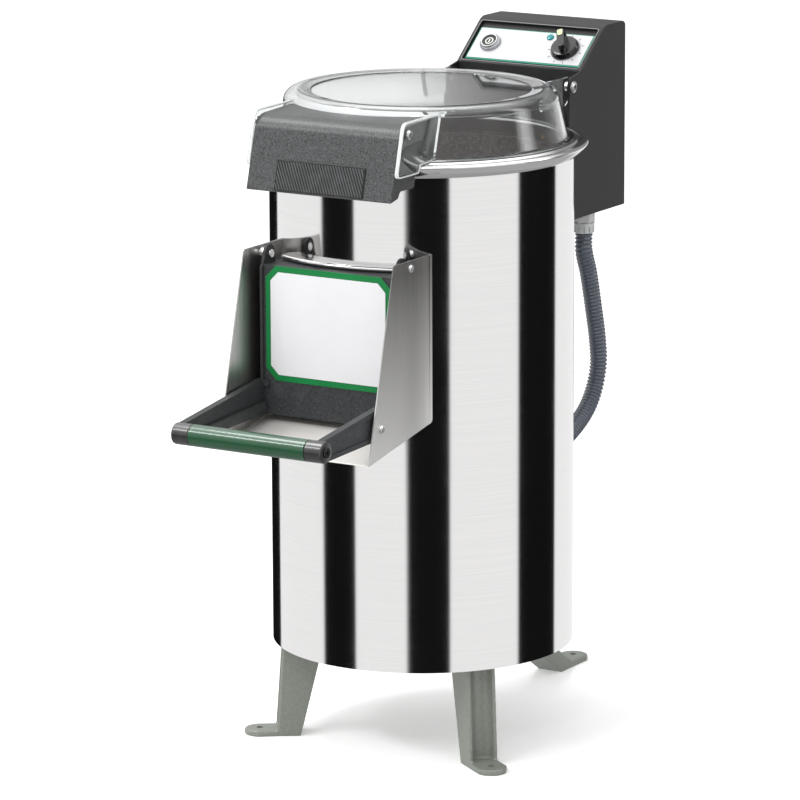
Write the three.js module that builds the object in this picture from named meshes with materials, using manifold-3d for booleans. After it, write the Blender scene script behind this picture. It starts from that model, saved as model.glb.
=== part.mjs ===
// Electric potato peeler: a steel barrel on three cast legs, a clear hinged lid, a discharge
// door with a tubular handle, a control box on the barrel's back and the drive inside.
// Millimetres. +Z is up, the door faces -Y, and the floor is at z = 0 under the barrel's axis.

import * as THREE from 'three';
import { mergeVertices } from 'three/addons/utils/BufferGeometryUtils.js';
import Module from 'manifold-3d';

const wasm = await Module();
wasm.setup();

// Clearances and cutting overrun
const seatGap = 0.3;
const runGap = 0.4;
const overrun = 6;

// Facets of round forms
const wideSteps = 48;
const midSteps = 24;
const smallSteps = 12;

// Barrel: heights are measured from its lower edge, and its own follows from what it holds
const legHeight = 133;
const barrelRadius = 200;
const barrelWall = 1.5;
const barrelTopBand = 144;
const outletHalfWidth = 84;
const outletSill = 38;
const outletHeight = 164;

// Rolled rim on the barrel's top
const rimOverhang = 18.4;
const rimRise = 15.2;
const rimSkirtDepth = 11;
const rimSkirtWall = 3.7;

// Base plate and legs
const basePlateHeight = 6;
const basePlateThickness = 3;
const basePlateHole = 70;
const legAngle = THREE.MathUtils.degToRad(54.9);
const legWidth = 40;
const legRibWall = 6;
const legChannelDepth = 14;
const legTopInnerInset = 69;
const legTopOuterInset = 12;
const legNeck = 9;
const frontFootOut = 19;
const frontFootDepth = 32;
const rearFootOut = 210.7;
const rearFootDepth = 44;
const tabRadius = 20.5;
const tabThickness = 8;
const tabHoleRadius = 4.5;
const tabSetback = 22;

// Chamber
const linerWall = 6;
const chamberFloorHeight = 310;
const chamberFloorThickness = 6;
const chamberHubRise = 4;
const chamberHubRadius = 40;

// Abrasive disc and its drive
const discGap = 4.2;
const discThickness = 10;
const discLift = 14;
const discBossRadius = 30;
const ridgeRadius = 9;
const ridgeLength = 128;
const ridgeStart = 38;
const ridgeCount = 3;
const shaftRadius = 12.5;
const shaftTail = 5;
const shaftStub = 8;
const sealRadius = 20;
const domeNutRadius = 24;
const domeNutHeight = 24;
const housingFlangeRadius = 60;
const housingFlangeThickness = 6;
const housingBodyRadius = 32;
const housingLength = 92;
const discTrackRadius = 75;
const motorTrackRadius = 25;
const pulleyFlangeRise = 4;
const pulleyFlangeWall = 2;
const pulleyWidth = 24;
const pulleyHeadroom = 30.7;
const beltThickness = 3.2;
const motorOffset = 118;
const motorRadius = 54;
const motorFinRise = 7;
const motorFinCount = 20;
const motorBottom = 13;
const motorBellHeight = 22;
const motorShaftRadius = 9.5;
const motorShaftStub = 10;
const motorPlateDrop = 13;
const motorPlateThickness = 6;
const motorPlateEdge = 22;

// Drain and water inlet
const drainX = 75;
const drainY = 115;
const drainHeight = 100;
const drainRadius = 22;
const drainWall = 2.5;
const drainStub = 42;
const inletX = 130;
const inletDrop = 56;
const inletRadius = 8;
const inletBore = 5;
const inletStub = 46;
const inletNutRadius = 14;
const inletNutThickness = 14;
const inletBarbRise = 2;
const inletBarbLength = 8;

// Chute: side plates, sloping floor and the lip above the door
const chuteHalfWidth = 113.1;
const chuteWall = 1.5;
const chuteTopRise = 41;
const chuteTopOut = 56.6;
const chuteBottomOut = 119;
const chuteFrontDrop = 42.5;
const chuteBackInset = 35;
const chuteBackDrop = 14;
const lipHalfWidth = 94;
const lipRise = 26;
const lipReach = 11;
const lipWall = 2.5;
const lipBeadRadius = 3;

// Discharge door
const doorPivotOut = 16.5;
const doorPivotRise = 31;
const doorFaceOut = 32;
const doorPlateWall = 5;
const doorHalfWidth = 108;
const doorArmWall = 10;
const doorCheekWall = 3.6;
const doorCheekLip = 4;
const doorBottomDrop = 13;
const doorTopRise = 19;
const doorRimWall = 8;
const doorEarRadius = 12;
const sealThickness = 3.4;
const sealSideBar = 12.6;
const sealEndBar = 10;
const handleOut = 217.2;
const handleDrop = 4.6;
const handleRadius = 14;
const handleHalfLength = 111.5;
const tubeHalfLength = 86;
const tubeWall = 2;
const armRootRise = 46;
const pivotPinRadius = 4;
const pivotHeadRadius = 5.5;
const pivotHeadHeight = 3;
const spacerRadius = 7;
const stopOut = 88.4;
const stopRise = 0.6;
const stopButtonRadius = 7;
const stopButtonGap = 0.6;
const handleScrewRadius = 7;
const handleScrewHead = 2;
const handleScrewShank = 4;
const handleScrewLength = 22;
const hexSocketRadius = 2.6;
const hexSocketDepth = 1.6;
const doorLabelHalfWidth = 94.5;
const doorLabelBottom = 381.5;
const doorLabelTop = 532;
const doorLabelChamfer = 15.5;
const doorLabelBand = 8;
const labelThickness = 0.7;

// Lid
const lidHeight = 66.4;
const lidWall = 4;
const lidFootInset = 0.5;
const lidFootThickness = 3;
const lidFootWidth = 8;
const lidSideDraft = 11;
const lidShoulderDrop = 15;
const lidShoulderWidth = 19;
const lidCrestWidth = 17.5;
const lidCrestRise = 2.3;
const lidFlatStep = 1.5;
const shoulderSteps = 4;
const earWall = 5;
const earTopBackRise = 75.5;
const earTopFrontRise = 74.5;
const earTopOut = 30;
const earBottomOut = 48;
const earBottomFrontRise = 5.5;
const earBottomBackRise = 19.5;
const earRootInset = 80;
const earNotchInset = 6;
const earNotchRise = 9.7;
const earNotchLean = 3;
const earCorner = 8;
const handleScrewOut = 19.9;
const handleScrewRise = 59;
const earScrewRadius = 3;
const earScrewHeadRadius = 6;
const earScrewHead = 3;
const earScrewReach = 9;

// Lid handle block
const blockHalfWidth = 108;
const blockWall = 3.5;
const blockTopOut = 30.2;
const blockTopFrontRise = 68.5;
const blockTopBackRise = 72;
const blockBottomOut = 55.7;
const blockBottomDrop = 24.6;
const blockCorner = 7;
const blockToeOut = 32;
const blockToeDrop = 12.5;
const blockHeelOut = 37;
const blockHeelDrop = 20.7;
const blockNotchInset = 2;
const blockNotchRise = 6;
const blockRootInset = 70;
const padHalfWidth = 66;
const padTopRise = 40;
const padBottomRise = 2.6;
const padThickness = 1.2;
const padRibCount = 7;
const padRibWidth = 1.6;
const padRibRise = 0.6;

// Control box
const boxHalfWidth = 97;
const boxWall = 3;
const boxDepth = 123;
const boxHang = 123;
const boxRise = 130;
const slopeRun = 66;
const boxGap = 54;
const slopeDrop = 53;
const boxCorner = 7;
const cheekReach = 33;
const cheekTopDrop = 7;
const hingeOut = 30.6;
const hingeRise = 58;
const hingePinRadius = 4;
const hingeEarRadius = 13;
const hingeEarRise = 14;
const hingeEarDrop = 24;
const hingeHeadRadius = 8;
const hingeHeadHeight = 3.5;
const hingeNutRadius = 7;
const recessDepth = 4;
const recessHalfWidth = 91;
const recessTop = 9;
const recessBottom = 82;
const panelHalfWidth = 88.5;
const panelTop = 18.5;
const panelBottom = 76.5;
const panelBand = 1.7;
const controlsDown = 48;
const buttonX = 61;
const bezelRadius = 14.5;
const bezelBore = 9.8;
const bezelRise = 7;
const bezelNeckRadius = 11;
const bezelNeckLength = 15;
const capRadius = 9.4;
const capRise = 6;
const capThickness = 7;
const capStemRadius = 4;
const capStemLength = 10;
const capTravel = 3;
const contactWidth = 24;
const contactDepth = 30;
const lampX = 24;
const lampDown = 28.8;
const lampRadius = 5;
const lampRise = 2.5;
const lampNeckRadius = 4;
const lampNeckLength = 12;
const timerX = 55.5;
const timerRadius = 22;
const timerDepth = 34;
const spindleRadius = 3;
const spindleRise = 12;
const knobRadius = 20.3;
const knobTopRadius = 17.5;
const knobSkirt = 8;
const knobGripRise = 15;
const knobGripWidth = 12;
const knobGripLength = 37;
const knobTurn = THREE.MathUtils.degToRad(25);
const indexLength = 11;
const indexWidth = 8;
const indexThickness = 1;
const switchWidth = 12;
const switchLength = 30;
const switchHeight = 20;

// Bracket between barrel and box
const bracketHalfWidth = 52;
const bracketWall = 4;
const bracketBottomRise = 15;
const bracketTopDrop = 16;
const bracketFoot = 22;

// Conduit and its glands
const hoseX = 78;
const hoseSetback = 43;
const hoseRadius = 12.2;
const hoseGroove = 10.4;
const hoseBore = 8;
const hoseRibPitch = 5.4;
const hoseSides = 8;
const ribsPerBoreRing = 5;
const glandRadius = 14.2;
const glandLength = 28;
const glandNeckRadius = 9;
const glandNeckLength = 9;
const glandSides = 6;
const lowerGlandOut = 17;
const lowerGlandDrop = 82;

// The conduit bows backwards and turns in to the barrel: distances out from the wall and
// heights over the lower gland
const hoseRoute = [[110, 219], [124, 170], [136, 122], [139, 86], [127, 53], [101, 26]];

// Outlines given as shares of the sizes they follow
const rimShares = [[0.544, 0], [0.711, 0.09], [1, 0.67], [0.958, 0.78], [0.774, 0.9],
  [0.628, 0.915], [0.515, 0.79], [0.41, 0.79], [0.335, 1], [0.063, 1], [0, 0.9]];
const domeNutShares = [[1, 0], [1, 0.5], [0.78, 0.86], [0.35, 1]];
const motorFinShare = 0.45;

// Heights stacked on the chamber floor, and the drive hung below it
const outletBottom = chamberFloorHeight + outletSill;
const outletTop = outletBottom + outletHeight;
const barrelHeight = outletTop + barrelTopBand;
const pulleyTop = chamberFloorHeight - seatGap - housingLength - pulleyHeadroom;
const pulleyBottom = pulleyTop - pulleyWidth;
const shaftBottom = pulleyBottom - shaftTail;
const motorPlateHeight = pulleyBottom - motorPlateDrop;
const lowerGlandZ = chamberFloorHeight - lowerGlandDrop;

// Places measured from the barrel's wall, its top and its outlet
const legTopInner = barrelRadius - legTopInnerInset;
const legTopOuter = barrelRadius - legTopOuterInset;
const frontFootReach = barrelRadius + frontFootOut;
const rearFootReach = barrelRadius + rearFootOut;
const chuteTopReach = barrelRadius + chuteTopOut;
const chuteBottomReach = barrelRadius + chuteBottomOut;
const chuteBackReach = barrelRadius - chuteBackInset;
const doorPivotY = barrelRadius + doorPivotOut;
const doorFaceY = barrelRadius + doorFaceOut;
const handleY = barrelRadius + handleOut;
const stopY = barrelRadius + stopOut;
const lidFootRadius = barrelRadius - lidFootInset;
const lidBaseRadius = lidFootRadius - lidFootWidth;
const lidShoulderRadius = lidBaseRadius - lidSideDraft;
const lidCrestRadius = lidShoulderRadius - lidShoulderWidth;
const lidFlatRadius = lidCrestRadius - lidCrestWidth;
const earFrontTopY = barrelRadius + earTopOut;
const earFrontBottomY = barrelRadius + earBottomOut;
const earRootY = barrelRadius - earRootInset;
const earNotchY = barrelRadius - earNotchInset;
const handleScrewY = barrelRadius + handleScrewOut;
const blockTopFrontY = barrelRadius + blockTopOut;
const blockBottomY = barrelRadius + blockBottomOut;
const blockToeY = barrelRadius + blockToeOut;
const blockHeelY = barrelRadius + blockHeelOut;
const blockNotchY = barrelRadius - blockNotchInset;
const blockRootY = barrelRadius - blockRootInset;
const slopeFootY = barrelRadius + boxGap;
const slopeTopY = slopeFootY + slopeRun;
const boxBack = slopeFootY + boxDepth;
const cheekFrontY = slopeFootY - cheekReach;
const hingeY = barrelRadius + hingeOut;
const hoseY = slopeFootY + hoseSetback;
const lowerGlandFaceY = barrelRadius + lowerGlandOut;
const chuteTop = outletTop + chuteTopRise;
const chuteFrontHeight = outletBottom - chuteFrontDrop;
const chuteBackHeight = outletBottom - chuteBackDrop;
const lipTop = outletTop + lipRise;
const doorPivotZ = outletTop + doorPivotRise;
const doorBottom = outletBottom - doorBottomDrop;
const doorTop = outletTop + doorTopRise;
const cheekInner = doorHalfWidth - doorArmWall;
const cheekOuter = cheekInner + doorCheekWall;
const handleZ = outletBottom - handleDrop;
const stopZ = outletBottom + stopRise;
const armRootTop = doorBottom + armRootRise;
const inletHeight = barrelHeight - inletDrop;
const earTopBack = barrelHeight + earTopBackRise;
const earTopFront = barrelHeight + earTopFrontRise;
const earBottomFront = barrelHeight + earBottomFrontRise;
const earBottomBack = barrelHeight + earBottomBackRise;
const earNotchTop = barrelHeight + earNotchRise + earBottomFrontRise;
const handleScrewZ = barrelHeight + handleScrewRise;
const blockTopFrontZ = barrelHeight + blockTopFrontRise;
const blockTopBackZ = barrelHeight + blockTopBackRise;
const blockBottomZ = barrelHeight - blockBottomDrop;
const blockHeelZ = barrelHeight - blockHeelDrop;
const blockToeZ = barrelHeight - blockToeDrop;
const blockNotchZ = barrelHeight + blockNotchRise;
const padTopZ = blockBottomZ + padTopRise;
const padBottomZ = blockBottomZ + padBottomRise;
const boxBottom = barrelHeight - boxHang;
const boxTop = barrelHeight + boxRise;
const slopeFootZ = boxTop - slopeDrop;
const cheekTopZ = slopeFootZ - cheekTopDrop;
const hingeZ = barrelHeight + hingeRise;
const hingeEarTop = hingeZ + hingeEarRise;
const hingeEarBottom = hingeZ - hingeEarDrop;
const bracketBottom = boxBottom + bracketBottomRise;
const bracketTop = barrelHeight - bracketTopDrop;

// Heights that several pieces share
const casingInner = barrelRadius - barrelWall;
const innerFit = casingInner - seatGap;
const rimBase = barrelHeight + seatGap;
const rimTop = rimBase + rimRise;
const linerInner = innerFit - linerWall;
const chamberFloorTop = chamberFloorHeight + chamberFloorThickness;
const discBottom = chamberFloorTop + discLift;
const discTop = discBottom + discThickness;
const shaftTop = discTop + shaftStub;
const lidSeat = rimTop + seatGap;
const lidTop = lidSeat + lidHeight;
const chuteInner = chuteHalfWidth - chuteWall;
const slopeAngle = Math.atan2(boxTop - slopeFootZ, slopeTopY - slopeFootY);
const labelFace = -recessDepth + (seatGap + labelThickness) * 2;

// Finishes
const steel = finish(0xc9c8c6, 0.28, 0.95);
const brightSteel = finish(0xdedede, 0.18, 1);
const castPaint = finish(0x84887f, 0.55, 0.2);
const clearPlastic = finish(0xdfe6e6, 0.08, 0);
clearPlastic.transparent = true;
clearPlastic.opacity = 0.4;
const charcoal = finish(0x2c2d2e, 0.6, 0);
const boxPaint = finish(0x303132, 0.5, 0.1);
const gripBlack = finish(0x1f2021, 0.7, 0);
const greenTube = finish(0x0c8a48, 0.3, 0.1);
const greenPrint = finish(0x0a8a45, 0.5, 0);
const tealPrint = finish(0x2f9a83, 0.5, 0);
const whitePrint = finish(0xf3f4f4, 0.4, 0);
const knobBlack = finish(0x141415, 0.35, 0);
const indexYellow = finish(0xdfe6a4, 0.5, 0);
const lampTeal = finish(0x1f9fb5, 0.2, 0);
const conduitGrey = finish(0x4c5560, 0.55, 0);
const glandGrey = finish(0x9a9ea0, 0.55, 0);
const rubber = finish(0x232323, 0.9, 0);
const abrasive = finish(0x6d6a66, 0.95, 0);
const castAluminium = finish(0xa9abad, 0.5, 0.8);
const motorPaint = finish(0x5a6670, 0.5, 0.3);
const brass = finish(0xb98f4a, 0.35, 0.9);

function finish(color, roughness, metalness) {
  return new THREE.MeshStandardMaterial({ color, roughness, metalness });
}

// A closed three.js geometry as a solid, its faces turned outwards
function solid(geometry) {
  const bare = geometry.clone();
  bare.deleteAttribute('normal');
  bare.deleteAttribute('uv');
  const merged = mergeVertices(bare);
  const places = merged.attributes.position;
  const corners = [];
  for (let i = 0; i < merged.index.count; i += 3) {
    const [a, b, c] = [merged.index.getX(i), merged.index.getX(i + 1), merged.index.getX(i + 2)];
    if (a !== b && b !== c && c !== a) corners.push(a, b, c);
  }
  if (signedVolume(places, corners) < 0) corners.reverse();
  return new wasm.Manifold(new wasm.Mesh({
    numProp: 3,
    vertProperties: new Float32Array(places.array),
    triVerts: new Uint32Array(corners),
  }));
}

function signedVolume(places, corners) {
  const [a, b, c] = [new THREE.Vector3(), new THREE.Vector3(), new THREE.Vector3()];
  let sum = 0;
  for (let i = 0; i < corners.length; i += 3) {
    a.fromBufferAttribute(places, corners[i]);
    b.fromBufferAttribute(places, corners[i + 1]);
    c.fromBufferAttribute(places, corners[i + 2]);
    sum += a.dot(b.cross(c));
  }
  return sum;
}

function join(first, ...rest) {
  return rest.reduce((whole, piece) => whole.add(piece), first);
}

function cut(first, ...rest) {
  return rest.reduce((whole, piece) => whole.subtract(piece), first);
}

// Profile of [radius, height] pairs turned about the Z axis
function turned(profile, steps = wideSteps) {
  const points = profile.map(([r, z]) => new THREE.Vector2(r, z));
  return new THREE.LatheGeometry(points, steps).rotateX(Math.PI / 2);
}

// The same profile closed on itself, for rings that do not reach the axis
function ring(profile, steps = wideSteps) {
  return turned([...profile, profile[0]], steps);
}

function tube(outer, inner, low, high, steps = wideSteps) {
  return ring([[inner, low], [outer, low], [outer, high], [inner, high]], steps);
}

function rod(radius, low, high, steps = smallSteps) {
  return turned([[0, low], [radius, low], [radius, high], [0, high]], steps);
}

// Turned shapes laid along X (outwards on the given side) or along +Y
function alongX(geometry, side = 1) {
  return geometry.rotateY(side * Math.PI / 2);
}

function alongY(geometry) {
  return geometry.rotateX(-Math.PI / 2);
}

function slab(x0, x1, y0, y1, z0, z1) {
  return new THREE.BoxGeometry(x1 - x0, y1 - y0, z1 - z0)
    .translate((x0 + x1) / 2, (y0 + y1) / 2, (z0 + z1) / 2);
}

// A polygon whose corners may be rounded: [u, v] or [u, v, corner radius]
function outline(points) {
  const shape = new THREE.Shape();
  points.forEach(([u, v, radius = 0], i) => {
    const here = new THREE.Vector2(u, v);
    const last = new THREE.Vector2(...points[(i + points.length - 1) % points.length]);
    const next = new THREE.Vector2(...points[(i + 1) % points.length]);
    const enter = here.clone().add(last.sub(here).setLength(radius));
    const leave = here.clone().add(next.sub(here).setLength(radius));
    if (i === 0) shape.moveTo(enter.x, enter.y);
    else shape.lineTo(enter.x, enter.y);
    if (radius > 0) shape.quadraticCurveTo(u, v, leave.x, leave.y);
  });
  return shape;
}

function extrude(shape, depth) {
  return new THREE.ExtrudeGeometry(shape, { depth, bevelEnabled: false, curveSegments: 4 });
}

// A side outline in Y and Z, extruded from x0 to x1
function profileX(points, x0, x1) {
  const sideways = new THREE.Matrix4().makeBasis(
    new THREE.Vector3(0, 1, 0),
    new THREE.Vector3(0, 0, 1),
    new THREE.Vector3(1, 0, 0),
  );
  return extrude(outline(points), x1 - x0).applyMatrix4(sideways).translate(x0, 0, 0);
}

// A front outline in X and Z, extruded from y0 back to y1
function profileY(points, y0, y1) {
  return extrude(outline(points), y1 - y0).rotateX(Math.PI / 2).translate(0, y1, 0);
}

function mirrorX(points) {
  return [...points, ...points.map(([x, z]) => [-x, z]).reverse()];
}

const peeler = new THREE.Group();
const barrelFrame = new THREE.Group();
barrelFrame.position.z = legHeight;
peeler.add(barrelFrame);

// The sloping panel: its local +Z leaves the face and its local +Y climbs the slope
const panelFrame = new THREE.Group();
panelFrame.position.set(0, slopeTopY, boxTop);
panelFrame.rotation.x = slopeAngle;
barrelFrame.add(panelFrame);
panelFrame.updateMatrix();

function place(name, body, material, frame = barrelFrame) {
  const { vertProperties, triVerts } = body.getMesh();
  const geometry = new THREE.BufferGeometry();
  geometry.setAttribute('position', new THREE.BufferAttribute(vertProperties, 3));
  geometry.setIndex(new THREE.BufferAttribute(triVerts, 1));
  geometry.computeVertexNormals();
  const mesh = new THREE.Mesh(geometry, material);
  mesh.name = name;
  frame.add(mesh);
}

// Everything outside the barrel that seats on it is cut by this cylinder
function barrelCut(gap = seatGap) {
  return solid(rod(barrelRadius + gap, -overrun, barrelHeight, wideSteps));
}

function makeBarrel() {
  const outlet = slab(-outletHalfWidth, outletHalfWidth, -barrelRadius - overrun, 0,
    outletBottom, outletTop);
  const drainHole = alongY(rod(drainRadius + seatGap, 0, barrelRadius + overrun, midSteps))
    .translate(-drainX, 0, drainHeight);
  const inletHole = alongY(rod(inletRadius + seatGap, 0, barrelRadius))
    .translate(-inletX, 0, inletHeight);
  const glandHole = alongY(rod(glandNeckRadius + seatGap, 0, barrelRadius + overrun))
    .translate(hoseX, 0, lowerGlandZ);
  const casing = cut(solid(tube(barrelRadius, casingInner, 0, barrelHeight)), solid(outlet),
    solid(drainHole), solid(inletHole), solid(glandHole));
  place('Barrel_Casing', casing, steel);

  const linerBottom = chamberFloorTop + seatGap;
  const linerTop = rimBase - rimSkirtDepth - seatGap;
  const liner = cut(solid(tube(innerFit, linerInner, linerBottom, linerTop)), solid(outlet),
    solid(inletHole));
  place('Chamber_Liner', liner, abrasive);
}

function makeRim() {
  const inner = innerFit - rimSkirtWall;
  const width = barrelRadius + rimOverhang - inner;
  const crown = rimShares.map(([r, z]) => [inner + width * r, rimBase + rimRise * z]);
  const skirt = rimBase - rimSkirtDepth;
  place('Barrel_Top_Rim',
    solid(ring([[inner, skirt], [innerFit, skirt], [innerFit, rimBase], ...crown])),
    brightSteel);
}

function makeBasePlate() {
  place('Base_Plate', solid(tube(innerFit, basePlateHole, basePlateHeight,
    basePlateHeight + basePlateThickness)), castPaint);
}

// A cast channel, open outwards, with a round bolt tab at its foot
function makeLeg(name, angle, reach, footDepth) {
  const top = basePlateHeight - seatGap;
  const footOuter = reach - tabSetback;
  const footInner = footOuter - footDepth;
  const half = legWidth / 2;
  const grooveHalf = half - legRibWall;
  const tabTop = tabThickness - legHeight;
  const strut = profileX([[-legTopInner, top], [-footInner, -legHeight],
    [-footOuter, -legHeight], [-legTopOuter, top - legNeck], [-legTopOuter, top]], -half, half);
  const groove = profileX([[-legTopOuter + legChannelDepth, top - legNeck],
    [-footOuter + legChannelDepth, tabTop], [-footOuter - overrun, tabTop],
    [-legTopOuter - overrun, top - legNeck]], -grooveHalf, grooveHalf);
  const tab = join(
    solid(rod(tabRadius, -legHeight, tabTop, midSteps).translate(0, -reach, 0)),
    solid(slab(-half, half, -reach, -footOuter + legChannelDepth, -legHeight, tabTop)),
  );
  const hole = rod(tabHoleRadius, -legHeight - overrun, tabTop + overrun)
    .translate(0, -reach, 0);
  const leg = cut(join(cut(solid(strut), solid(groove)), tab), solid(hole));
  const turnedFrame = new THREE.Group();
  turnedFrame.rotation.z = angle;
  barrelFrame.add(turnedFrame);
  place(name, leg, castPaint, turnedFrame);
}

function makeChamberFloor() {
  const bore = sealRadius + seatGap;
  const hubTop = chamberFloorTop + chamberHubRise;
  const dish = ring([[bore, chamberFloorHeight], [innerFit, chamberFloorHeight],
    [innerFit, chamberFloorTop], [chamberHubRadius, chamberFloorTop],
    [chamberHubRadius, hubTop], [bore, hubTop]]);
  const drainHole = rod(drainRadius - drainWall, chamberFloorHeight - overrun,
    chamberFloorTop + overrun, midSteps).translate(-drainX, drainY, 0);
  place('Chamber_Floor', cut(solid(dish), solid(drainHole)), steel);
}

// Disc with raised radial ridges, clamped on the shaft by a domed nut
function makeDisc() {
  const bore = shaftRadius + seatGap;
  const bossBottom = chamberFloorTop + chamberHubRise + runGap;
  let disc = solid(ring([[bore, bossBottom], [discBossRadius, bossBottom],
    [discBossRadius, discBottom], [linerInner - discGap, discBottom],
    [linerInner - discGap, discTop], [bore, discTop]]));
  for (let i = 0; i < ridgeCount; i += 1) {
    const ridge = rod(ridgeRadius, ridgeStart, ridgeStart + ridgeLength);
    alongX(ridge).translate(0, 0, discTop).rotateZ(2 * Math.PI * i / ridgeCount);
    disc = disc.add(solid(ridge));
  }
  place('Abrasive_Disc', disc, abrasive);

  const nutBottom = discTop + seatGap;
  const dome = domeNutShares.map(([r, z]) => [domeNutRadius * r, nutBottom + domeNutHeight * z]);
  place('Disc_Dome_Nut', solid(turned([[0, shaftTop + seatGap], [bore, shaftTop + seatGap],
    [bore, nutBottom], ...dome, [0, nutBottom + domeNutHeight]], midSteps)), brightSteel);
  place('Disc_Shaft', solid(rod(shaftRadius, shaftBottom, shaftTop, midSteps)), brightSteel);
}

function makeBearing() {
  const bore = shaftRadius + runGap;
  const top = chamberFloorHeight - seatGap;
  place('Bearing_Housing', solid(ring([[bore, top - housingLength],
    [housingBodyRadius, top - housingLength], [housingBodyRadius, top - housingFlangeThickness],
    [housingFlangeRadius, top - housingFlangeThickness], [housingFlangeRadius, top],
    [bore, top]], midSteps)), castAluminium);
  place('Shaft_Seal', solid(tube(sealRadius, bore, chamberFloorHeight,
    chamberFloorTop, midSteps)), rubber);
}

function pulley(track, bore) {
  const flange = track + pulleyFlangeRise;
  const low = pulleyBottom;
  const high = pulleyBottom + pulleyWidth;
  const slope = pulleyFlangeWall + pulleyFlangeWall / 2;
  return ring([[bore, low], [flange, low], [flange, low + pulleyFlangeWall],
    [track, low + slope], [track, high - slope], [flange, high - pulleyFlangeWall],
    [flange, high], [bore, high]], midSteps);
}

// The belt's loop: two arcs and their common tangents, drawn in the pulleys' plane
function beltLoop(bigRadius, smallRadius) {
  const lean = Math.asin((bigRadius - smallRadius) / motorOffset);
  const shape = new THREE.Shape();
  shape.absarc(0, 0, bigRadius, -lean, Math.PI + lean, false);
  shape.absarc(0, -motorOffset, smallRadius, Math.PI + lean, 2 * Math.PI - lean, false);
  shape.closePath();
  return shape;
}

function makeDrive() {
  place('Disc_Pulley', solid(pulley(discTrackRadius, shaftRadius + seatGap)), castAluminium);
  place('Motor_Pulley', solid(pulley(motorTrackRadius, motorShaftRadius + seatGap)
    .translate(0, -motorOffset, 0)), castAluminium);

  const inner = beltLoop(discTrackRadius + seatGap, motorTrackRadius + seatGap);
  const outer = beltLoop(discTrackRadius + seatGap + beltThickness,
    motorTrackRadius + seatGap + beltThickness);
  const beltInset = pulleyFlangeWall * 2;
  const beltWidth = pulleyWidth - beltInset * 2;
  const loop = (shape, depth) => new THREE.ExtrudeGeometry(shape,
    { depth, bevelEnabled: false, curveSegments: smallSteps });
  place('Drive_Belt', cut(
    solid(loop(outer, beltWidth).translate(0, 0, pulleyBottom + beltInset)),
    solid(loop(inner, beltWidth + overrun * 2)
      .translate(0, 0, pulleyBottom + beltInset - overrun)),
  ), rubber);
}

function finOutline() {
  const shape = new THREE.Shape();
  const pitch = 2 * Math.PI / motorFinCount;
  for (let i = 0; i < motorFinCount; i += 1) {
    const start = pitch * i;
    const end = start + pitch * motorFinShare;
    const corners = [[motorRadius, start], [motorRadius + motorFinRise, start],
      [motorRadius + motorFinRise, end], [motorRadius, end]];
    corners.forEach(([r, a], k) => {
      const [x, y] = [r * Math.cos(a), r * Math.sin(a)];
      if (i === 0 && k === 0) shape.moveTo(x, y);
      else shape.lineTo(x, y);
    });
  }
  return shape;
}

function makeMotor() {
  const top = motorPlateHeight - seatGap;
  const bellRadius = motorRadius + motorFinRise;
  const shaftLow = top - motorBellHeight / 2;
  const fins = extrude(finOutline(), top - motorBottom - motorBellHeight * 2)
    .translate(0, 0, motorBottom + motorBellHeight);
  const bells = [motorBottom, top - motorBellHeight].map((low) => solid(
    rod(bellRadius, low, low + motorBellHeight, midSteps)));
  const bore = rod(motorShaftRadius + runGap, shaftLow, top + overrun);
  const motor = cut(join(solid(fins), ...bells), solid(bore));
  const motorFrame = new THREE.Group();
  motorFrame.position.y = -motorOffset;
  barrelFrame.add(motorFrame);
  place('Motor', motor, motorPaint, motorFrame);
  place('Motor_Shaft', solid(rod(motorShaftRadius, shaftLow + runGap,
    pulleyBottom + pulleyWidth + motorShaftStub)), brightSteel, motorFrame);

  const plateTop = motorPlateHeight + motorPlateThickness;
  const disc = rod(innerFit, motorPlateHeight, plateTop, wideSteps);
  const behind = slab(-barrelRadius - overrun, barrelRadius + overrun, -motorPlateEdge,
    barrelRadius + overrun, motorPlateHeight - overrun, plateTop + overrun);
  const hole = rod(motorShaftRadius * 2, motorPlateHeight - overrun, plateTop + overrun)
    .translate(0, -motorOffset, 0);
  place('Motor_Plate', cut(solid(disc), solid(behind), solid(hole)), castPaint);
}

// A bent outlet pipe from the chamber floor out through the barrel's back
function makeDrain() {
  const top = chamberFloorHeight - seatGap;
  const back = Math.sqrt(barrelRadius ** 2 - drainX ** 2) + drainStub;
  const leg = (radius, low, high, end) => join(
    solid(rod(radius, low, high, midSteps).translate(0, drainY, 0)),
    solid(alongY(rod(radius, drainY, end, midSteps)).translate(0, 0, drainHeight)),
  );
  const bore = drainRadius - drainWall;
  const pipe = cut(leg(drainRadius, drainHeight - drainRadius, top, back),
    leg(bore, drainHeight, top + overrun, back + overrun));
  place('Drain_Pipe', pipe.translate([-drainX, 0, 0]), steel);
}

function makeInlet() {
  const wallY = Math.sqrt(barrelRadius ** 2 - inletX ** 2);
  const tip = wallY + inletStub;
  const inside = wallY - linerWall * 2;
  const barb = tip - inletBarbLength;
  const nipple = turned([[0, inside], [inletRadius, inside], [inletRadius, barb],
    [inletRadius + inletBarbRise, barb], [inletRadius, tip], [0, tip]], smallSteps);
  const nut = rod(inletNutRadius, wallY - inletNutThickness, wallY + inletNutThickness,
    glandSides);
  const bore = rod(inletBore, inside - overrun, tip + overrun);
  const shift = (geometry) => solid(alongY(geometry).translate(-inletX, 0, inletHeight));
  place('Water_Inlet', cut(join(cut(shift(nut), barrelCut()), shift(nipple)), shift(bore)),
    brass);
}

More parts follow.
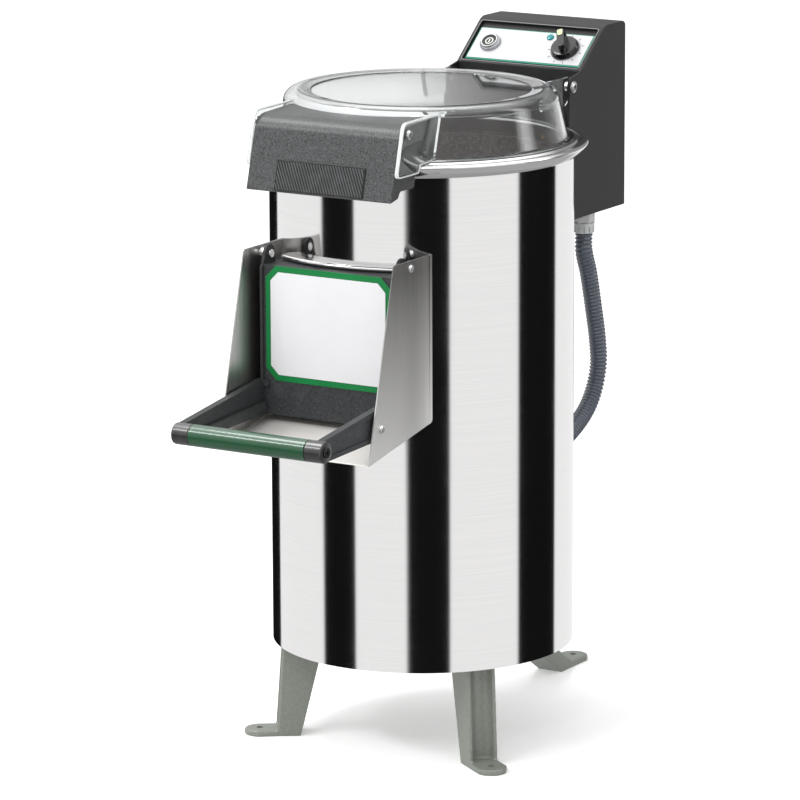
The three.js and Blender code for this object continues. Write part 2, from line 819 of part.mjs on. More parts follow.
function makeChute() {
  const sideOutline = [[-chuteTopReach, chuteTop], [-chuteBottomReach, chuteFrontHeight],
    [-chuteBackReach + overrun * 2, chuteBackHeight], [-chuteBackReach + overrun * 2, chuteTop]];
  const holes = [[doorPivotY, doorPivotZ], [stopY, stopZ]].map(([y, z]) => solid(
    alongX(rod(pivotPinRadius + seatGap, -chuteHalfWidth - overrun, chuteHalfWidth + overrun))
      .translate(0, -y, z)));
  for (const [side, x0] of [['Left', -chuteHalfWidth], ['Right', chuteInner]]) {
    place(`Chute_Side_${side}`, cut(solid(profileX(sideOutline, x0, x0 + chuteWall)),
      barrelCut(), ...holes), steel);
  }

  const floorHalf = chuteInner - seatGap;
  const floor = profileX([[-chuteBottomReach, chuteFrontHeight + chuteWall],
    [-chuteBottomReach, chuteFrontHeight], [-chuteBackReach, chuteBackHeight],
    [-chuteBackReach, chuteBackHeight + chuteWall]], -floorHalf, floorHalf);
  place('Chute_Floor', cut(solid(floor), barrelCut()), steel);

  const root = barrelRadius + seatGap;
  const nose = root + lipReach;
  const bead = lipBeadRadius;
  const sheet = solid(tube(nose + bead, root, lipTop - lipWall, lipTop));
  const roll = solid(ring([[nose, lipTop - bead * 2], [nose + bead * 2, lipTop - bead * 2],
    [nose + bead * 2, lipTop - bead], [nose + bead, lipTop], [nose, lipTop]]));
  const front = slab(-lipHalfWidth, lipHalfWidth, -barrelRadius * 2, 0,
    lipTop - bead * 4, lipTop + bead);
  place('Chute_Top_Lip', join(sheet, roll).intersect(solid(front)), brightSteel);
}

// Bolt through a side wall: head outside, spacer inside, pin on into the piece that it carries
function sideBolt(profile, side, y, z) {
  return solid(alongX(turned(profile, smallSteps), side).translate(0, y, z));
}

function makeChuteBolts() {
  const headBase = chuteHalfWidth + seatGap;
  const inside = chuteInner - seatGap;
  const spacerEnd = cheekOuter + runGap;
  const nutFace = cheekInner - runGap;
  const nutEnd = nutFace - pivotHeadHeight;
  for (const [name, side] of [['Left', -1], ['Right', 1]]) {
    place(`Door_Pivot_${name}`, sideBolt([[0, nutEnd], [pivotHeadRadius, nutEnd],
      [pivotHeadRadius, nutFace], [pivotPinRadius, nutFace], [pivotPinRadius, spacerEnd],
      [spacerRadius, spacerEnd], [spacerRadius, inside], [pivotPinRadius, inside],
      [pivotPinRadius, headBase], [pivotHeadRadius, headBase],
      [pivotPinRadius, headBase + pivotHeadHeight], [0, headBase + pivotHeadHeight]],
    side, -doorPivotY, doorPivotZ), brightSteel);
    const buttonEnd = doorHalfWidth + stopButtonGap;
    place(`Chute_Stop_${name}`, sideBolt([[0, buttonEnd], [stopButtonRadius, buttonEnd],
      [stopButtonRadius, inside], [pivotPinRadius, inside], [pivotPinRadius, headBase],
      [pivotHeadRadius, headBase], [pivotPinRadius, headBase + pivotHeadHeight],
      [0, headBase + pivotHeadHeight]], side, -stopY, stopZ), brightSteel);
  }
}

// One moulding: plate, cheeks that reach back to the seal, two arms and the handle's ends
function makeDoor() {
  const armTipTop = handleZ + handleRadius;
  const cheekBack = barrelRadius * Math.cos(Math.PI / 4);
  const plate = slab(-cheekInner - seatGap, cheekInner + seatGap, -doorFaceY,
    -doorFaceY + doorPlateWall, doorBottom, doorTop);
  const bottomWall = slab(-cheekInner - seatGap, cheekInner + seatGap, -doorFaceY, -cheekBack,
    doorBottom, doorBottom + doorRimWall);
  const topWall = slab(-cheekInner - seatGap, cheekInner + seatGap, -doorFaceY, -cheekBack,
    doorTop - doorRimWall, doorTop);
  let door = join(solid(plate), solid(bottomWall), solid(topWall));
  for (const side of [-1, 1]) {
    const [x0, x1] = side < 0 ? [-cheekOuter, -cheekInner] : [cheekInner, cheekOuter];
    const [armX0, armX1] = side < 0 ? [-doorHalfWidth, x1] : [x0, doorHalfWidth];
    const cheek = profileX([[-doorFaceY - doorCheekLip, doorTop],
      [-doorFaceY - doorCheekLip, doorBottom], [-cheekBack, doorBottom],
      [-cheekBack, doorTop]], x0, x1);
    const ear = alongX(rod(doorEarRadius, x0, x1)).translate(0, -doorPivotY, doorPivotZ);
    const earRoot = profileX([[-doorPivotY - doorEarRadius, doorPivotZ],
      [-doorFaceY - doorCheekLip, doorTop - doorRimWall],
      [-doorPivotY + doorEarRadius, doorTop - doorRimWall],
      [-doorPivotY + doorEarRadius, doorPivotZ]], x0, x1);
    const arm = profileX([[-handleY, armTipTop], [-handleY, handleZ - handleRadius],
      [-doorFaceY, doorBottom], [-doorFaceY, armRootTop]], armX0, armX1);
    const tubeEnd = alongX(rod(handleRadius, tubeHalfLength + seatGap, handleHalfLength,
      midSteps), side).translate(0, -handleY, handleZ);
    door = join(door, solid(cheek), solid(ear), solid(earRoot), solid(arm), solid(tubeEnd));
  }
  const reach = doorHalfWidth + overrun;
  const pivotHole = alongX(rod(pivotPinRadius + runGap, -reach, reach))
    .translate(0, -doorPivotY, doorPivotZ);
  const screwHole = alongX(rod(handleScrewShank + seatGap, -handleHalfLength - overrun,
    handleHalfLength + overrun)).translate(0, -handleY, handleZ);
  place('Door_Frame', cut(door, barrelCut(sealThickness + seatGap * 2), solid(pivotHole),
    solid(screwHole)), charcoal);
  makeSeal();
  makeHandle();
}

function makeSeal() {
  const inner = barrelRadius + seatGap;
  const band = tube(inner + sealThickness, inner, doorBottom + seatGap, doorTop - seatGap);
  const half = cheekOuter - seatGap;
  const front = slab(-half, half, -barrelRadius * 2, 0, doorBottom, doorTop);
  const window = slab(-half + sealSideBar, half - sealSideBar, -barrelRadius * 2, 0,
    doorBottom + sealEndBar, doorTop - sealEndBar);
  place('Door_Seal', cut(solid(band).intersect(solid(front)), solid(window)), rubber);
}

function makeHandle() {
  place('Handle_Tube', solid(alongX(tube(handleRadius, handleRadius - tubeWall,
    -tubeHalfLength, tubeHalfLength, midSteps)).translate(0, -handleY, handleZ)), greenTube);
  for (const [name, side] of [['Left', -1], ['Right', 1]]) {
    const headBase = handleHalfLength + seatGap;
    const headTop = headBase + handleScrewHead;
    const screw = sideBolt([[0, headBase - handleScrewLength],
      [handleScrewShank, headBase - handleScrewLength], [handleScrewShank, headBase],
      [handleScrewRadius, headBase], [handleScrewRadius, headTop], [0, headTop]],
    side, -handleY, handleZ);
    const socket = alongX(rod(hexSocketRadius, headTop - hexSocketDepth, headTop + overrun,
      glandSides), side).translate(0, -handleY, handleZ);
    place(`Handle_Screw_${name}`, cut(screw, solid(socket)), gripBlack);
  }
}

function makeDoorLabels() {
  const plate = (inset, face) => {
    const half = doorLabelHalfWidth - inset;
    const [low, high] = [doorLabelBottom + inset, doorLabelTop - inset];
    const chamfer = doorLabelChamfer - inset / 2;
    return profileY(mirrorX([[half - chamfer, low], [half, low + chamfer],
      [half, high - chamfer], [half - chamfer, high]]), face - labelThickness, face);
  };
  const borderFace = -doorFaceY - seatGap;
  const whiteFace = borderFace - labelThickness - seatGap;
  const high = doorTop - doorLabelTop;
  place('Door_Label_Border', solid(plate(0, borderFace).translate(0, 0, high)), greenPrint);
  place('Door_Label', solid(plate(doorLabelBand, whiteFace).translate(0, 0, high)), whitePrint);
}

// Points of the lid's outside from the axis to its foot; the inside is the same line inset
function lidLine(inset) {
  const top = lidTop - inset;
  const middle = top - lidCrestRise;
  const points = [[0, middle - lidFlatStep], [lidFlatRadius, middle - lidFlatStep],
    [lidFlatRadius + lidFlatStep, middle]];
  for (let i = 0; i <= shoulderSteps; i += 1) {
    const a = Math.PI / 2 * i / shoulderSteps;
    points.push([lidCrestRadius + (lidShoulderRadius - inset - lidCrestRadius) * Math.sin(a),
      top - (lidShoulderDrop - inset) * (1 - Math.cos(a))]);
  }
  return points;
}

function lidOuterSolid(gap) {
  const footTop = lidSeat + lidFootThickness + gap;
  return solid(turned([...lidLine(-gap), [lidBaseRadius + gap, footTop],
    [lidFootRadius + gap, footTop], [lidFootRadius + gap, lidSeat - gap], [0, lidSeat - gap]]));
}

function makeLid() {
  const bowl = lidOuterSolid(0);
  const inside = solid(turned([...lidLine(lidWall), [lidBaseRadius - lidWall, lidSeat - overrun],
    [0, lidSeat - overrun]]));
  const frontEar = [[-earRootY, earTopBack], [-earFrontTopY, earTopFront, earCorner],
    [-earFrontBottomY, earBottomFront, earCorner], [-earNotchY, earBottomFront],
  [-earNotchY + earNotchLean, earNotchTop], [-earRootY, earBottomBack]];
  const rearEar = [[lidCrestRadius * Math.SQRT1_2, hingeEarTop],
    [lidCrestRadius * Math.SQRT1_2, hingeEarBottom], [hingeY - hingeEarRadius, hingeEarBottom],
    [hingeY, hingeZ - hingeEarRadius], [hingeY, hingeZ + hingeEarRadius],
    [hingeY - hingeEarRadius, hingeEarTop]];
  const earX = blockHalfWidth + seatGap;
  const rearX = boxHalfWidth - boxWall - runGap - earWall;
  let ears = solid(alongX(rod(hingeEarRadius, -rearX - earWall, rearX + earWall))
    .translate(0, hingeY, hingeZ));
  ears = ears.subtract(solid(alongX(rod(hingeEarRadius * 2, -rearX, rearX))
    .translate(0, hingeY, hingeZ)));
  for (const side of [-1, 1]) {
    const span = (x) => (side < 0 ? [-x - earWall, -x] : [x, x + earWall]);
    ears = join(ears, solid(profileX(frontEar, ...span(earX))),
      solid(profileX(rearEar, ...span(rearX))));
  }
  const reach = blockHalfWidth + overrun * 2;
  const screwHole = alongX(rod(earScrewRadius + seatGap, -reach, reach))
    .translate(0, -handleScrewY, handleScrewZ);
  const hingeHole = alongX(rod(hingePinRadius + runGap, -reach, reach))
    .translate(0, hingeY, hingeZ);
  place('Lid', cut(join(bowl, ears), inside, solid(screwHole), solid(hingeHole)), clearPlastic);
}

// A hollow moulding between the lid's front ears, open below and towards the lid
function makeLidHandle() {
  const rimEdge = barrelRadius + rimOverhang + seatGap;
  const side = [[-blockRootY, blockTopBackZ], [-blockTopFrontY, blockTopFrontZ, blockCorner],
    [-blockBottomY, blockBottomZ], [-blockHeelY, blockHeelZ], [-blockToeY, blockToeZ],
    [-blockNotchY, blockToeZ], [-blockNotchY + earNotchLean, blockNotchZ],
    [-blockRootY, blockNotchZ]];
  const hollow = [[-blockRootY, blockTopBackZ - blockWall],
    [-blockTopFrontY + blockWall, blockTopFrontZ - blockWall, blockCorner / 2],
    [-blockBottomY + blockWall, blockBottomZ - blockWall],
    [-blockRootY, blockBottomZ - blockWall]];
  const half = blockHalfWidth - blockWall;
  const rimSpace = rod(rimEdge, blockBottomZ - overrun, rimTop + seatGap * 2, wideSteps);
  const reach = blockHalfWidth + overrun;
  const screwHole = alongX(rod(earScrewRadius + seatGap, -reach, reach))
    .translate(0, -handleScrewY, handleScrewZ);
  place('Lid_Handle', cut(solid(profileX(side, -blockHalfWidth, blockHalfWidth)),
    solid(profileX(hollow, -half, half)), lidOuterSolid(seatGap), solid(rimSpace),
    solid(screwHole)), charcoal);

  for (const [name, end] of [['Left', -1], ['Right', 1]]) {
    const headBase = blockHalfWidth + seatGap * 2 + earWall;
    const headTop = headBase + earScrewHead;
    const screw = sideBolt([[0, headBase - earScrewReach], [earScrewRadius,
      headBase - earScrewReach], [earScrewRadius, headBase], [earScrewHeadRadius, headBase],
    [earScrewHeadRadius, headTop - earScrewHead / 2], [earScrewRadius, headTop], [0, headTop]],
    end, -handleScrewY, handleScrewZ);
    place(`Lid_Handle_Screw_${name}`, screw, brightSteel);
  }
}

// Ribbed finger pad on the handle's sloping front
function makeGripPad() {
  const across = new THREE.Vector2(blockBottomY - blockTopFrontY,
    blockTopFrontZ - blockBottomZ).normalize();
  const onFace = (z, lift) => {
    const y = -blockBottomY + (z - blockBottomZ) * across.x / across.y;
    return [y - across.y * lift, z + across.x * lift];
  };
  const low = seatGap;
  const high = seatGap + padThickness;
  const pad = profileX([onFace(padTopZ, low), onFace(padBottomZ, low),
    onFace(padBottomZ, high), onFace(padTopZ, high)], -padHalfWidth, padHalfWidth);
  const pitch = (padTopZ - padBottomZ) / padRibCount;
  let grip = solid(pad);
  for (let i = 0; i < padRibCount; i += 1) {
    const z = padBottomZ + pitch * i + padRibWidth;
    grip = grip.add(solid(profileX([onFace(z + padRibWidth, low + padThickness / 2),
      onFace(z, low + padThickness / 2), onFace(z, high + padRibRise),
      onFace(z + padRibWidth, high + padRibRise)], -padHalfWidth, padHalfWidth)));
  }
  place('Lid_Handle_Grip_Pad', grip, gripBlack);
}

function onPanel(geometry) {
  return solid(geometry.applyMatrix4(panelFrame.matrix));
}

// Folded sheet case with a recessed panel; its side walls run on forwards as hinge cheeks
function makeBox() {
  const inner = boxHalfWidth - boxWall;
  const skin = recessDepth + boxWall;
  const slopeShiftY = skin / Math.sin(slopeAngle);
  const shell = profileX([[slopeFootY, boxBottom], [boxBack, boxBottom], [boxBack, boxTop,
    boxCorner], [slopeTopY, boxTop, boxCorner], [slopeFootY, slopeFootZ]],
  -boxHalfWidth, boxHalfWidth);
  const innerTop = boxTop - boxWall;
  const innerFoot = slopeFootY + boxWall;
  const slopeRise = Math.tan(slopeAngle);
  const innerSlopeTopY = slopeTopY + slopeShiftY - boxWall / slopeRise;
  const innerSlopeFootZ = innerTop - (innerSlopeTopY - innerFoot) * slopeRise;
  const room = profileX([[innerFoot, boxBottom + boxWall], [boxBack + overrun, boxBottom
    + boxWall], [boxBack + overrun, innerTop], [innerSlopeTopY, innerTop],
  [innerFoot, innerSlopeFootZ]], -inner, inner);
  const cheek = [[cheekFrontY, boxBottom], [slopeFootY + boxWall, boxBottom],
    [slopeFootY + boxWall, slopeFootZ - boxWall], [slopeFootY, slopeFootZ],
    [cheekFrontY, cheekTopZ, boxCorner]];
  const recess = slab(-recessHalfWidth, recessHalfWidth, -recessBottom, -recessTop,
    -recessDepth, overrun);
  const through = (radius, x, down) => onPanel(rod(radius, -skin - overrun, overrun, midSteps)
    .translate(x, -down, 0));
  const pinHole = alongX(rod(hingePinRadius + seatGap, -boxHalfWidth - overrun,
    boxHalfWidth + overrun)).translate(0, hingeY, hingeZ);
  const glandHole = rod(glandNeckRadius + seatGap, boxBottom - overrun,
    boxBottom + boxWall + overrun).translate(hoseX, hoseY, 0);
  const housing = cut(
    join(solid(shell), solid(profileX(cheek, -boxHalfWidth, -inner)),
      solid(profileX(cheek, inner, boxHalfWidth))),
    solid(room),
    onPanel(recess),
    through(bezelNeckRadius + seatGap, -buttonX, controlsDown),
    through(lampNeckRadius + seatGap, lampX, lampDown),
    through(spindleRadius * 2, timerX, controlsDown),
    solid(pinHole),
    solid(glandHole),
  );
  place('Control_Box_Housing', housing, boxPaint);

  const coverHalf = inner - seatGap;
  place('Control_Box_Rear_Cover', solid(slab(-coverHalf, coverHalf, boxBack - boxWall, boxBack,
    boxBottom + boxWall + seatGap, innerTop - seatGap)), boxPaint);
  place('Lid_Switch', solid(slab(inner - seatGap - switchWidth, inner - seatGap,
    innerFoot + seatGap, innerFoot + seatGap + switchLength, hingeZ - switchHeight * 2,
    hingeZ - switchHeight)), gripBlack);
}

function makeHingeBolts() {
  const headBase = boxHalfWidth + seatGap;
  const nutFace = boxHalfWidth - boxWall - runGap * 2 - earWall;
  const nutEnd = nutFace - hingeHeadHeight;
  for (const [name, side] of [['Left', -1], ['Right', 1]]) {
    place(`Lid_Hinge_Bolt_${name}`, sideBolt([[0, nutEnd], [hingeNutRadius, nutEnd],
      [hingeNutRadius, nutFace], [hingePinRadius, nutFace], [hingePinRadius, headBase],
      [hingeHeadRadius, headBase], [hingeHeadRadius, headBase + hingeHeadHeight / 2],
      [hingePinRadius, headBase + hingeHeadHeight], [0, headBase + hingeHeadHeight]],
    side, hingeY, hingeZ), brightSteel);
  }
}

function makePanelLabels() {
  const plate = (inset, low) => slab(-panelHalfWidth + inset, panelHalfWidth - inset,
    -panelBottom + inset, -panelTop - inset, low, low + labelThickness);
  const hole = (radius, x, down) => solid(rod(radius, -recessDepth - overrun, overrun, midSteps)
    .translate(x, -down, 0));
  const holes = [hole(bezelNeckRadius + seatGap, -buttonX, controlsDown),
    hole(lampNeckRadius + seatGap, lampX, lampDown),
    hole(spindleRadius * 2, timerX, controlsDown)];
  const low = -recessDepth + seatGap;
  place('Panel_Label_Border', cut(solid(plate(0, low)), ...holes), tealPrint, panelFrame);
  place('Panel_Label', cut(solid(plate(panelBand, low + labelThickness + seatGap)), ...holes),
    whitePrint, panelFrame);
}

// Controls are turned about their own axes in the panel's frame
function makeControls() {
  const base = labelFace + seatGap;
  const skin = recessDepth + boxWall;
  const neckEnd = base - bezelNeckLength;
  const at = (x, down) => {
    const frame = new THREE.Group();
    frame.position.set(x, -down, 0);
    panelFrame.add(frame);
    return frame;
  };
  const buttonFrame = at(-buttonX, controlsDown);
  place('Start_Button_Bezel', solid(ring([[bezelBore, neckEnd], [bezelNeckRadius, neckEnd],
    [bezelNeckRadius, base], [bezelRadius, base], [bezelRadius, base + bezelRise / 2],
    [bezelRadius - bezelRise / 3, base + bezelRise], [bezelBore, base + bezelRise]], midSteps)),
  brightSteel, buttonFrame);
  const capTop = base + capRise;
  const capLow = capTop - capThickness;
  place('Start_Button_Cap', solid(turned([[0, capLow - capStemLength],
    [capStemRadius, capLow - capStemLength], [capStemRadius, capLow], [capRadius, capLow],
    [capRadius, capTop], [0, capTop]], midSteps)), knobBlack, buttonFrame);
  const contactTop = Math.min(neckEnd, capLow - capStemLength - capTravel) - seatGap;
  const contactHalf = contactWidth / 2;
  place('Button_Contact_Block', solid(slab(-contactHalf, contactHalf, -contactHalf, contactHalf,
    contactTop - contactDepth, contactTop)), gripBlack, buttonFrame);

  place('Pilot_Lamp', solid(turned([[0, base - lampNeckLength],
    [lampNeckRadius, base - lampNeckLength], [lampNeckRadius, base], [lampRadius, base],
    [lampRadius, base + lampRise / 2], [lampRadius / 2, base + lampRise],
    [0, base + lampRise]], smallSteps)), lampTeal, at(lampX, lampDown));

  const timerFrame = at(timerX, controlsDown);
  const timerTop = -skin - seatGap;
  place('Timer_Body', solid(turned([[0, timerTop - timerDepth], [timerRadius,
    timerTop - timerDepth], [timerRadius, timerTop], [spindleRadius, timerTop],
  [spindleRadius, base + spindleRise], [0, base + spindleRise]], midSteps)), gripBlack,
  timerFrame);
  makeTimerKnob(timerFrame, base);
}

function makeTimerKnob(frame, base) {
  const low = base + runGap;
  const skirtTop = low + knobSkirt;
  const gripTop = skirtTop + knobGripRise;
  const halfWidth = knobGripWidth / 2;
  const halfLength = knobGripLength / 2;
  const skirt = rodLike([[knobRadius, low], [knobRadius, low + knobSkirt / 3],
    [knobTopRadius, skirtTop]]);
  const bar = extrude(outline([[-halfWidth, -halfLength, halfWidth],
    [halfWidth, -halfLength, halfWidth], [halfWidth, halfLength, halfWidth / 2],
    [-halfWidth, halfLength, halfWidth / 2]]), gripTop - low)
    .translate(0, 0, low).rotateZ(knobTurn);
  const barTrim = tube(knobRadius * 2, knobTopRadius, low - overrun, gripTop + overrun, midSteps);
  const bore = rod(spindleRadius + runGap, low - overrun, base + spindleRise + runGap);
  place('Timer_Knob', cut(join(solid(skirt), cut(solid(bar), solid(barTrim))), solid(bore)),
    knobBlack, frame);
  const indexEnd = knobTopRadius - indexThickness * 2;
  place('Timer_Knob_Index', solid(slab(-indexWidth / 2, indexWidth / 2,
    indexEnd - indexLength, indexEnd, gripTop + seatGap, gripTop + seatGap + indexThickness)
    .rotateZ(knobTurn)), indexYellow, frame);
}

function rodLike(rings) {
  return turned([[0, rings[0][1]], ...rings, [0, rings[rings.length - 1][1]]], midSteps);
}

// Hat-shaped bracket: curved feet on the barrel, flat web against the box
function makeBracket() {
  const web = slopeFootY - seatGap;
  const outer = slab(-bracketHalfWidth, bracketHalfWidth, 0, web, bracketBottom, bracketTop);
  const inner = slab(-bracketHalfWidth + bracketWall, bracketHalfWidth - bracketWall, -overrun,
    web - bracketWall, bracketBottom - overrun, bracketTop + overrun);
  const root = barrelRadius + seatGap;
  const footWide = bracketHalfWidth + bracketFoot;
  const foot = solid(tube(root + bracketWall, root, bracketBottom, bracketTop));
  const behind = slab(-footWide, footWide, 0, barrelRadius * 2, bracketBottom, bracketTop);
  const feet = cut(foot.intersect(solid(behind)), solid(inner));
  place('Box_Mount_Bracket', join(cut(solid(outer), solid(inner), barrelCut()), feet), steel);
}

function makeGlands() {
  const upperTop = boxBottom - seatGap;
  const upperLow = upperTop - glandLength;
  const collar = glandLength / 2;
  const body = (low, mid, high) => join(
    solid(rod(glandRadius, low, mid, midSteps)),
    solid(rod(glandRadius + seatGap * 2, mid, high, glandSides)),
  );
  const neckTop = boxBottom + glandNeckLength;
  const bore = solid(rod(hoseBore, upperLow - overrun, neckTop + overrun));
  const upper = cut(join(body(upperLow, upperLow + collar, upperTop),
    solid(rod(glandNeckRadius, upperTop - collar, neckTop))), bore);
  const upperFrame = new THREE.Group();
  upperFrame.position.set(hoseX, hoseY, 0);
  barrelFrame.add(upperFrame);
  place('Conduit_Gland_Upper', upper, glandGrey, upperFrame);

  const wallY = Math.sqrt(barrelRadius ** 2 - hoseX ** 2);
  const along = (geometry) => solid(alongY(geometry).translate(hoseX, 0, lowerGlandZ));
  const lower = join(cut(along(rod(glandRadius, wallY - glandLength, lowerGlandFaceY,
    midSteps)), barrelCut()), along(rod(glandNeckRadius, wallY - glandNeckLength * 2,
    lowerGlandFaceY)));
  place('Conduit_Gland_Lower', cut(lower, along(rod(hoseBore, 0, lowerGlandFaceY + overrun))),
    glandGrey);
}

// The conduit: rings of points along its route, a crest and a groove for each rib, and a bore
function makeHose() {
  const startZ = boxBottom - seatGap * 2 - glandLength;
  const straight = hoseRadius * 2;
  const endY = lowerGlandFaceY + seatGap;
  const bow = hoseRoute.map(([out, rise]) => [barrelRadius + out, lowerGlandZ + rise]);
  const points = [[hoseY, startZ], [hoseY, startZ - straight], ...bow,
    [endY + straight, lowerGlandZ], [endY, lowerGlandZ]]
    .map(([y, z]) => new THREE.Vector3(hoseX, y, z));
  const route = new THREE.CatmullRomCurve3(points, false, 'centripetal');
  const ribCount = Math.round(route.getLength() / hoseRibPitch);
  const section = (share, radius) => {
    const centre = route.getPointAt(share);
    let along = route.getTangentAt(share);
    if (share === 0) along = new THREE.Vector3(0, 0, -1);
    if (share === 1) along = new THREE.Vector3(0, -1, 0);
    const across = new THREE.Vector3(1, 0, 0);
    const third = new THREE.Vector3().crossVectors(along, across);
    return Array.from({ length: hoseSides }, (_, k) => {
      const a = 2 * Math.PI * k / hoseSides;
      return centre.clone().addScaledVector(across, radius * Math.cos(a))
        .addScaledVector(third, radius * Math.sin(a));
    });
  };
  const rings = [];
  for (let i = 0; i < ribCount; i += 1) {
    rings.push(section(i / ribCount, hoseGroove));
    rings.push(section((i + 0.5) / ribCount, hoseRadius));
  }
  rings.push(section(1, hoseGroove));
  for (let i = ribCount; i > 0; i -= ribsPerBoreRing) rings.push(section(i / ribCount, hoseBore));
  rings.push(section(0, hoseBore));
  place('Conduit_Hose', solid(closedSleeve(rings)), conduitGrey);
}

// Joins each ring to the next, and the last to the first, into one closed surface
function closedSleeve(rings) {
  const places = rings.flat().flatMap((p) => [p.x, p.y, p.z]);
  const corners = [];
  rings.forEach((_, i) => {
    const next = (i + 1) % rings.length;
    for (let k = 0; k < hoseSides; k += 1) {
      const turn = (k + 1) % hoseSides;
      const [a, b] = [i * hoseSides + k, i * hoseSides + turn];
      const [c, d] = [next * hoseSides + k, next * hoseSides + turn];
      corners.push(a, b, d, a, d, c);
    }
  });
  const geometry = new THREE.BufferGeometry();
  geometry.setAttribute('position', new THREE.Float32BufferAttribute(places, 3));
  geometry.setIndex(corners);
  return geometry;
}

makeBarrel();
makeRim();
makeBasePlate();
makeLeg('Leg_Front_Left', -legAngle, frontFootReach, frontFootDepth);
makeLeg('Leg_Front_Right', legAngle, frontFootReach, frontFootDepth);
makeLeg('Leg_Rear', Math.PI, rearFootReach, rearFootDepth);
makeChamberFloor();
makeDisc();
makeBearing();
makeDrive();
makeMotor();
makeDrain();
makeInlet();
makeChute();
makeChuteBolts();
makeDoor();
makeDoorLabels();
makeLid();
makeLidHandle();
makeGripPad();
makeBox();
makeHingeBolts();
makePanelLabels();
makeControls();
makeBracket();
makeGlands();
makeHose();

export default peeler;
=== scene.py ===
"""Electric potato peeler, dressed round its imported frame: barrel, clear lid, door, control box.

Shapes are drawn in millimetres over the barrel's lower edge, and come to metres when finished.
"""

import math

import bmesh
import bpy
from mathutils import Matrix, Vector


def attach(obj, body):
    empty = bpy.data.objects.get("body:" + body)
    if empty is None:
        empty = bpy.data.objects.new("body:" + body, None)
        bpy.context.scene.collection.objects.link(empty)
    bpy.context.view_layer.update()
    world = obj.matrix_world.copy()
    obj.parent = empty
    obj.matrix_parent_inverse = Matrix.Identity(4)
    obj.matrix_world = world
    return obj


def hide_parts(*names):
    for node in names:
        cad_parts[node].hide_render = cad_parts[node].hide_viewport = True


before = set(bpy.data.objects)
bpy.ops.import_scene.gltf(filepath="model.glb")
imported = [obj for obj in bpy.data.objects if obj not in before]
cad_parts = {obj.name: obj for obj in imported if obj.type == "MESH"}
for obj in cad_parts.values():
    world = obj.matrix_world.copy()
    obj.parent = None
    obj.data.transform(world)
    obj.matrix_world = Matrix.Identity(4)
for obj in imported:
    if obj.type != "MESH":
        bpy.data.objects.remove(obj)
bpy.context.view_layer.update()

# Places that every piece is drawn from
LEG_HEIGHT = 133
BARREL = Matrix.Scale(0.001, 4) @ Matrix.Translation((0, 0, LEG_HEIGHT))
SLOPE = math.atan2(53, 66)
PANEL = BARREL @ Matrix.Translation((0, 320, 786)) @ Matrix.Rotation(SLOPE, 4, "X")
SIDE = Matrix(((0, 0, 1, 0), (1, 0, 0, 0), (0, 1, 0, 0), (0, 0, 0, 1)))
FRONT = Matrix(((1, 0, 0, 0), (0, 0, 1, 0), (0, 1, 0, 0), (0, 0, 0, 1)))
ALONG_X = Matrix.Rotation(math.pi / 2, 4, "Y")
ALONG_Y = Matrix.Rotation(-math.pi / 2, 4, "X")
PLAIN = Matrix.Identity(4)
SIDES = (("Left", -1), ("Right", 1))

# Bolts and the handle tube, as (back, up)
PIVOT_AT = (-216.5, 543)
STOP_AT = (-288.4, 348.6)
HANDLE_AT = (-417.2, 343.4)
EAR_SCREW_AT = (-219.9, 715)
HINGE_AT = (230.6, 714)

# Openings of the barrel, as (across, up), and the controls on their panel
DRAIN_AT = (-75, 100)
INLET_AT = (-130, 600)
HOSE_X = 78
HOSE_END_AT = (HOSE_X, 228)
BUTTON_AT = (-61, -48)
LAMP_AT = (24, -28.8)
TIMER_AT = (55.5, -48)

# The view: an angle round the barrel and the direction back to the camera
VIEW_TURN = math.radians(31.2975)
VIEW_RIGHT = (math.cos(VIEW_TURN), math.sin(VIEW_TURN), 0)
VIEW_BACK = (math.sin(VIEW_TURN), -math.cos(VIEW_TURN), 0)


# ---------------------------------------------------------------- shaping

def turned(profile, steps=96, ring=False):
    """A profile of (radius, height) points spun round the upright axis; a ring's is closed."""
    bm = bmesh.new()
    points = [bm.verts.new((r, 0, z)) for r, z in profile]
    pairs = list(zip(points, points[1:]))
    if ring:
        pairs.append((points[-1], points[0]))
    edges = [bm.edges.new(pair) for pair in pairs]
    bmesh.ops.spin(bm, geom=points + edges, cent=(0, 0, 0), axis=(0, 0, 1), dvec=(0, 0, 0),
                   angle=2 * math.pi, steps=steps, use_merge=True)
    bmesh.ops.remove_doubles(bm, verts=bm.verts, dist=1e-4)
    bmesh.ops.recalc_face_normals(bm, faces=bm.faces)
    return bm


def cut_from(outline, low, high, turn=PLAIN):
    """An outline of (u, v) or (u, v, corner radius) points, as thick as from low to high."""
    bm = bmesh.new()
    corners = [bm.verts.new((point[0], point[1], low)) for point in outline]
    bm.faces.new(corners)
    for corner, point in zip(corners, outline):
        if len(point) > 2:
            bmesh.ops.bevel(bm, geom=[corner], offset=point[2], offset_type="OFFSET",
                            segments=6, profile=0.5, affect="VERTICES", clamp_overlap=True,
                            material=-1)
    grown = bmesh.ops.extrude_face_region(bm, geom=bm.faces[:])
    top = [v for v in grown["geom"] if isinstance(v, bmesh.types.BMVert)]
    bmesh.ops.translate(bm, verts=top, vec=(0, 0, high - low))
    bmesh.ops.transform(bm, matrix=turn, verts=bm.verts)
    bmesh.ops.recalc_face_normals(bm, faces=bm.faces)
    return bm


def side_cut(outline, side, inner, outer):
    """A side view's outline, standing between two distances out from the middle."""
    return cut_from(outline, *sorted((side * inner, side * outer)), SIDE)


def box_outline(half, low, high, corner):
    return [(-half, low, corner), (half, low, corner), (half, high, corner),
            (-half, high, corner)]


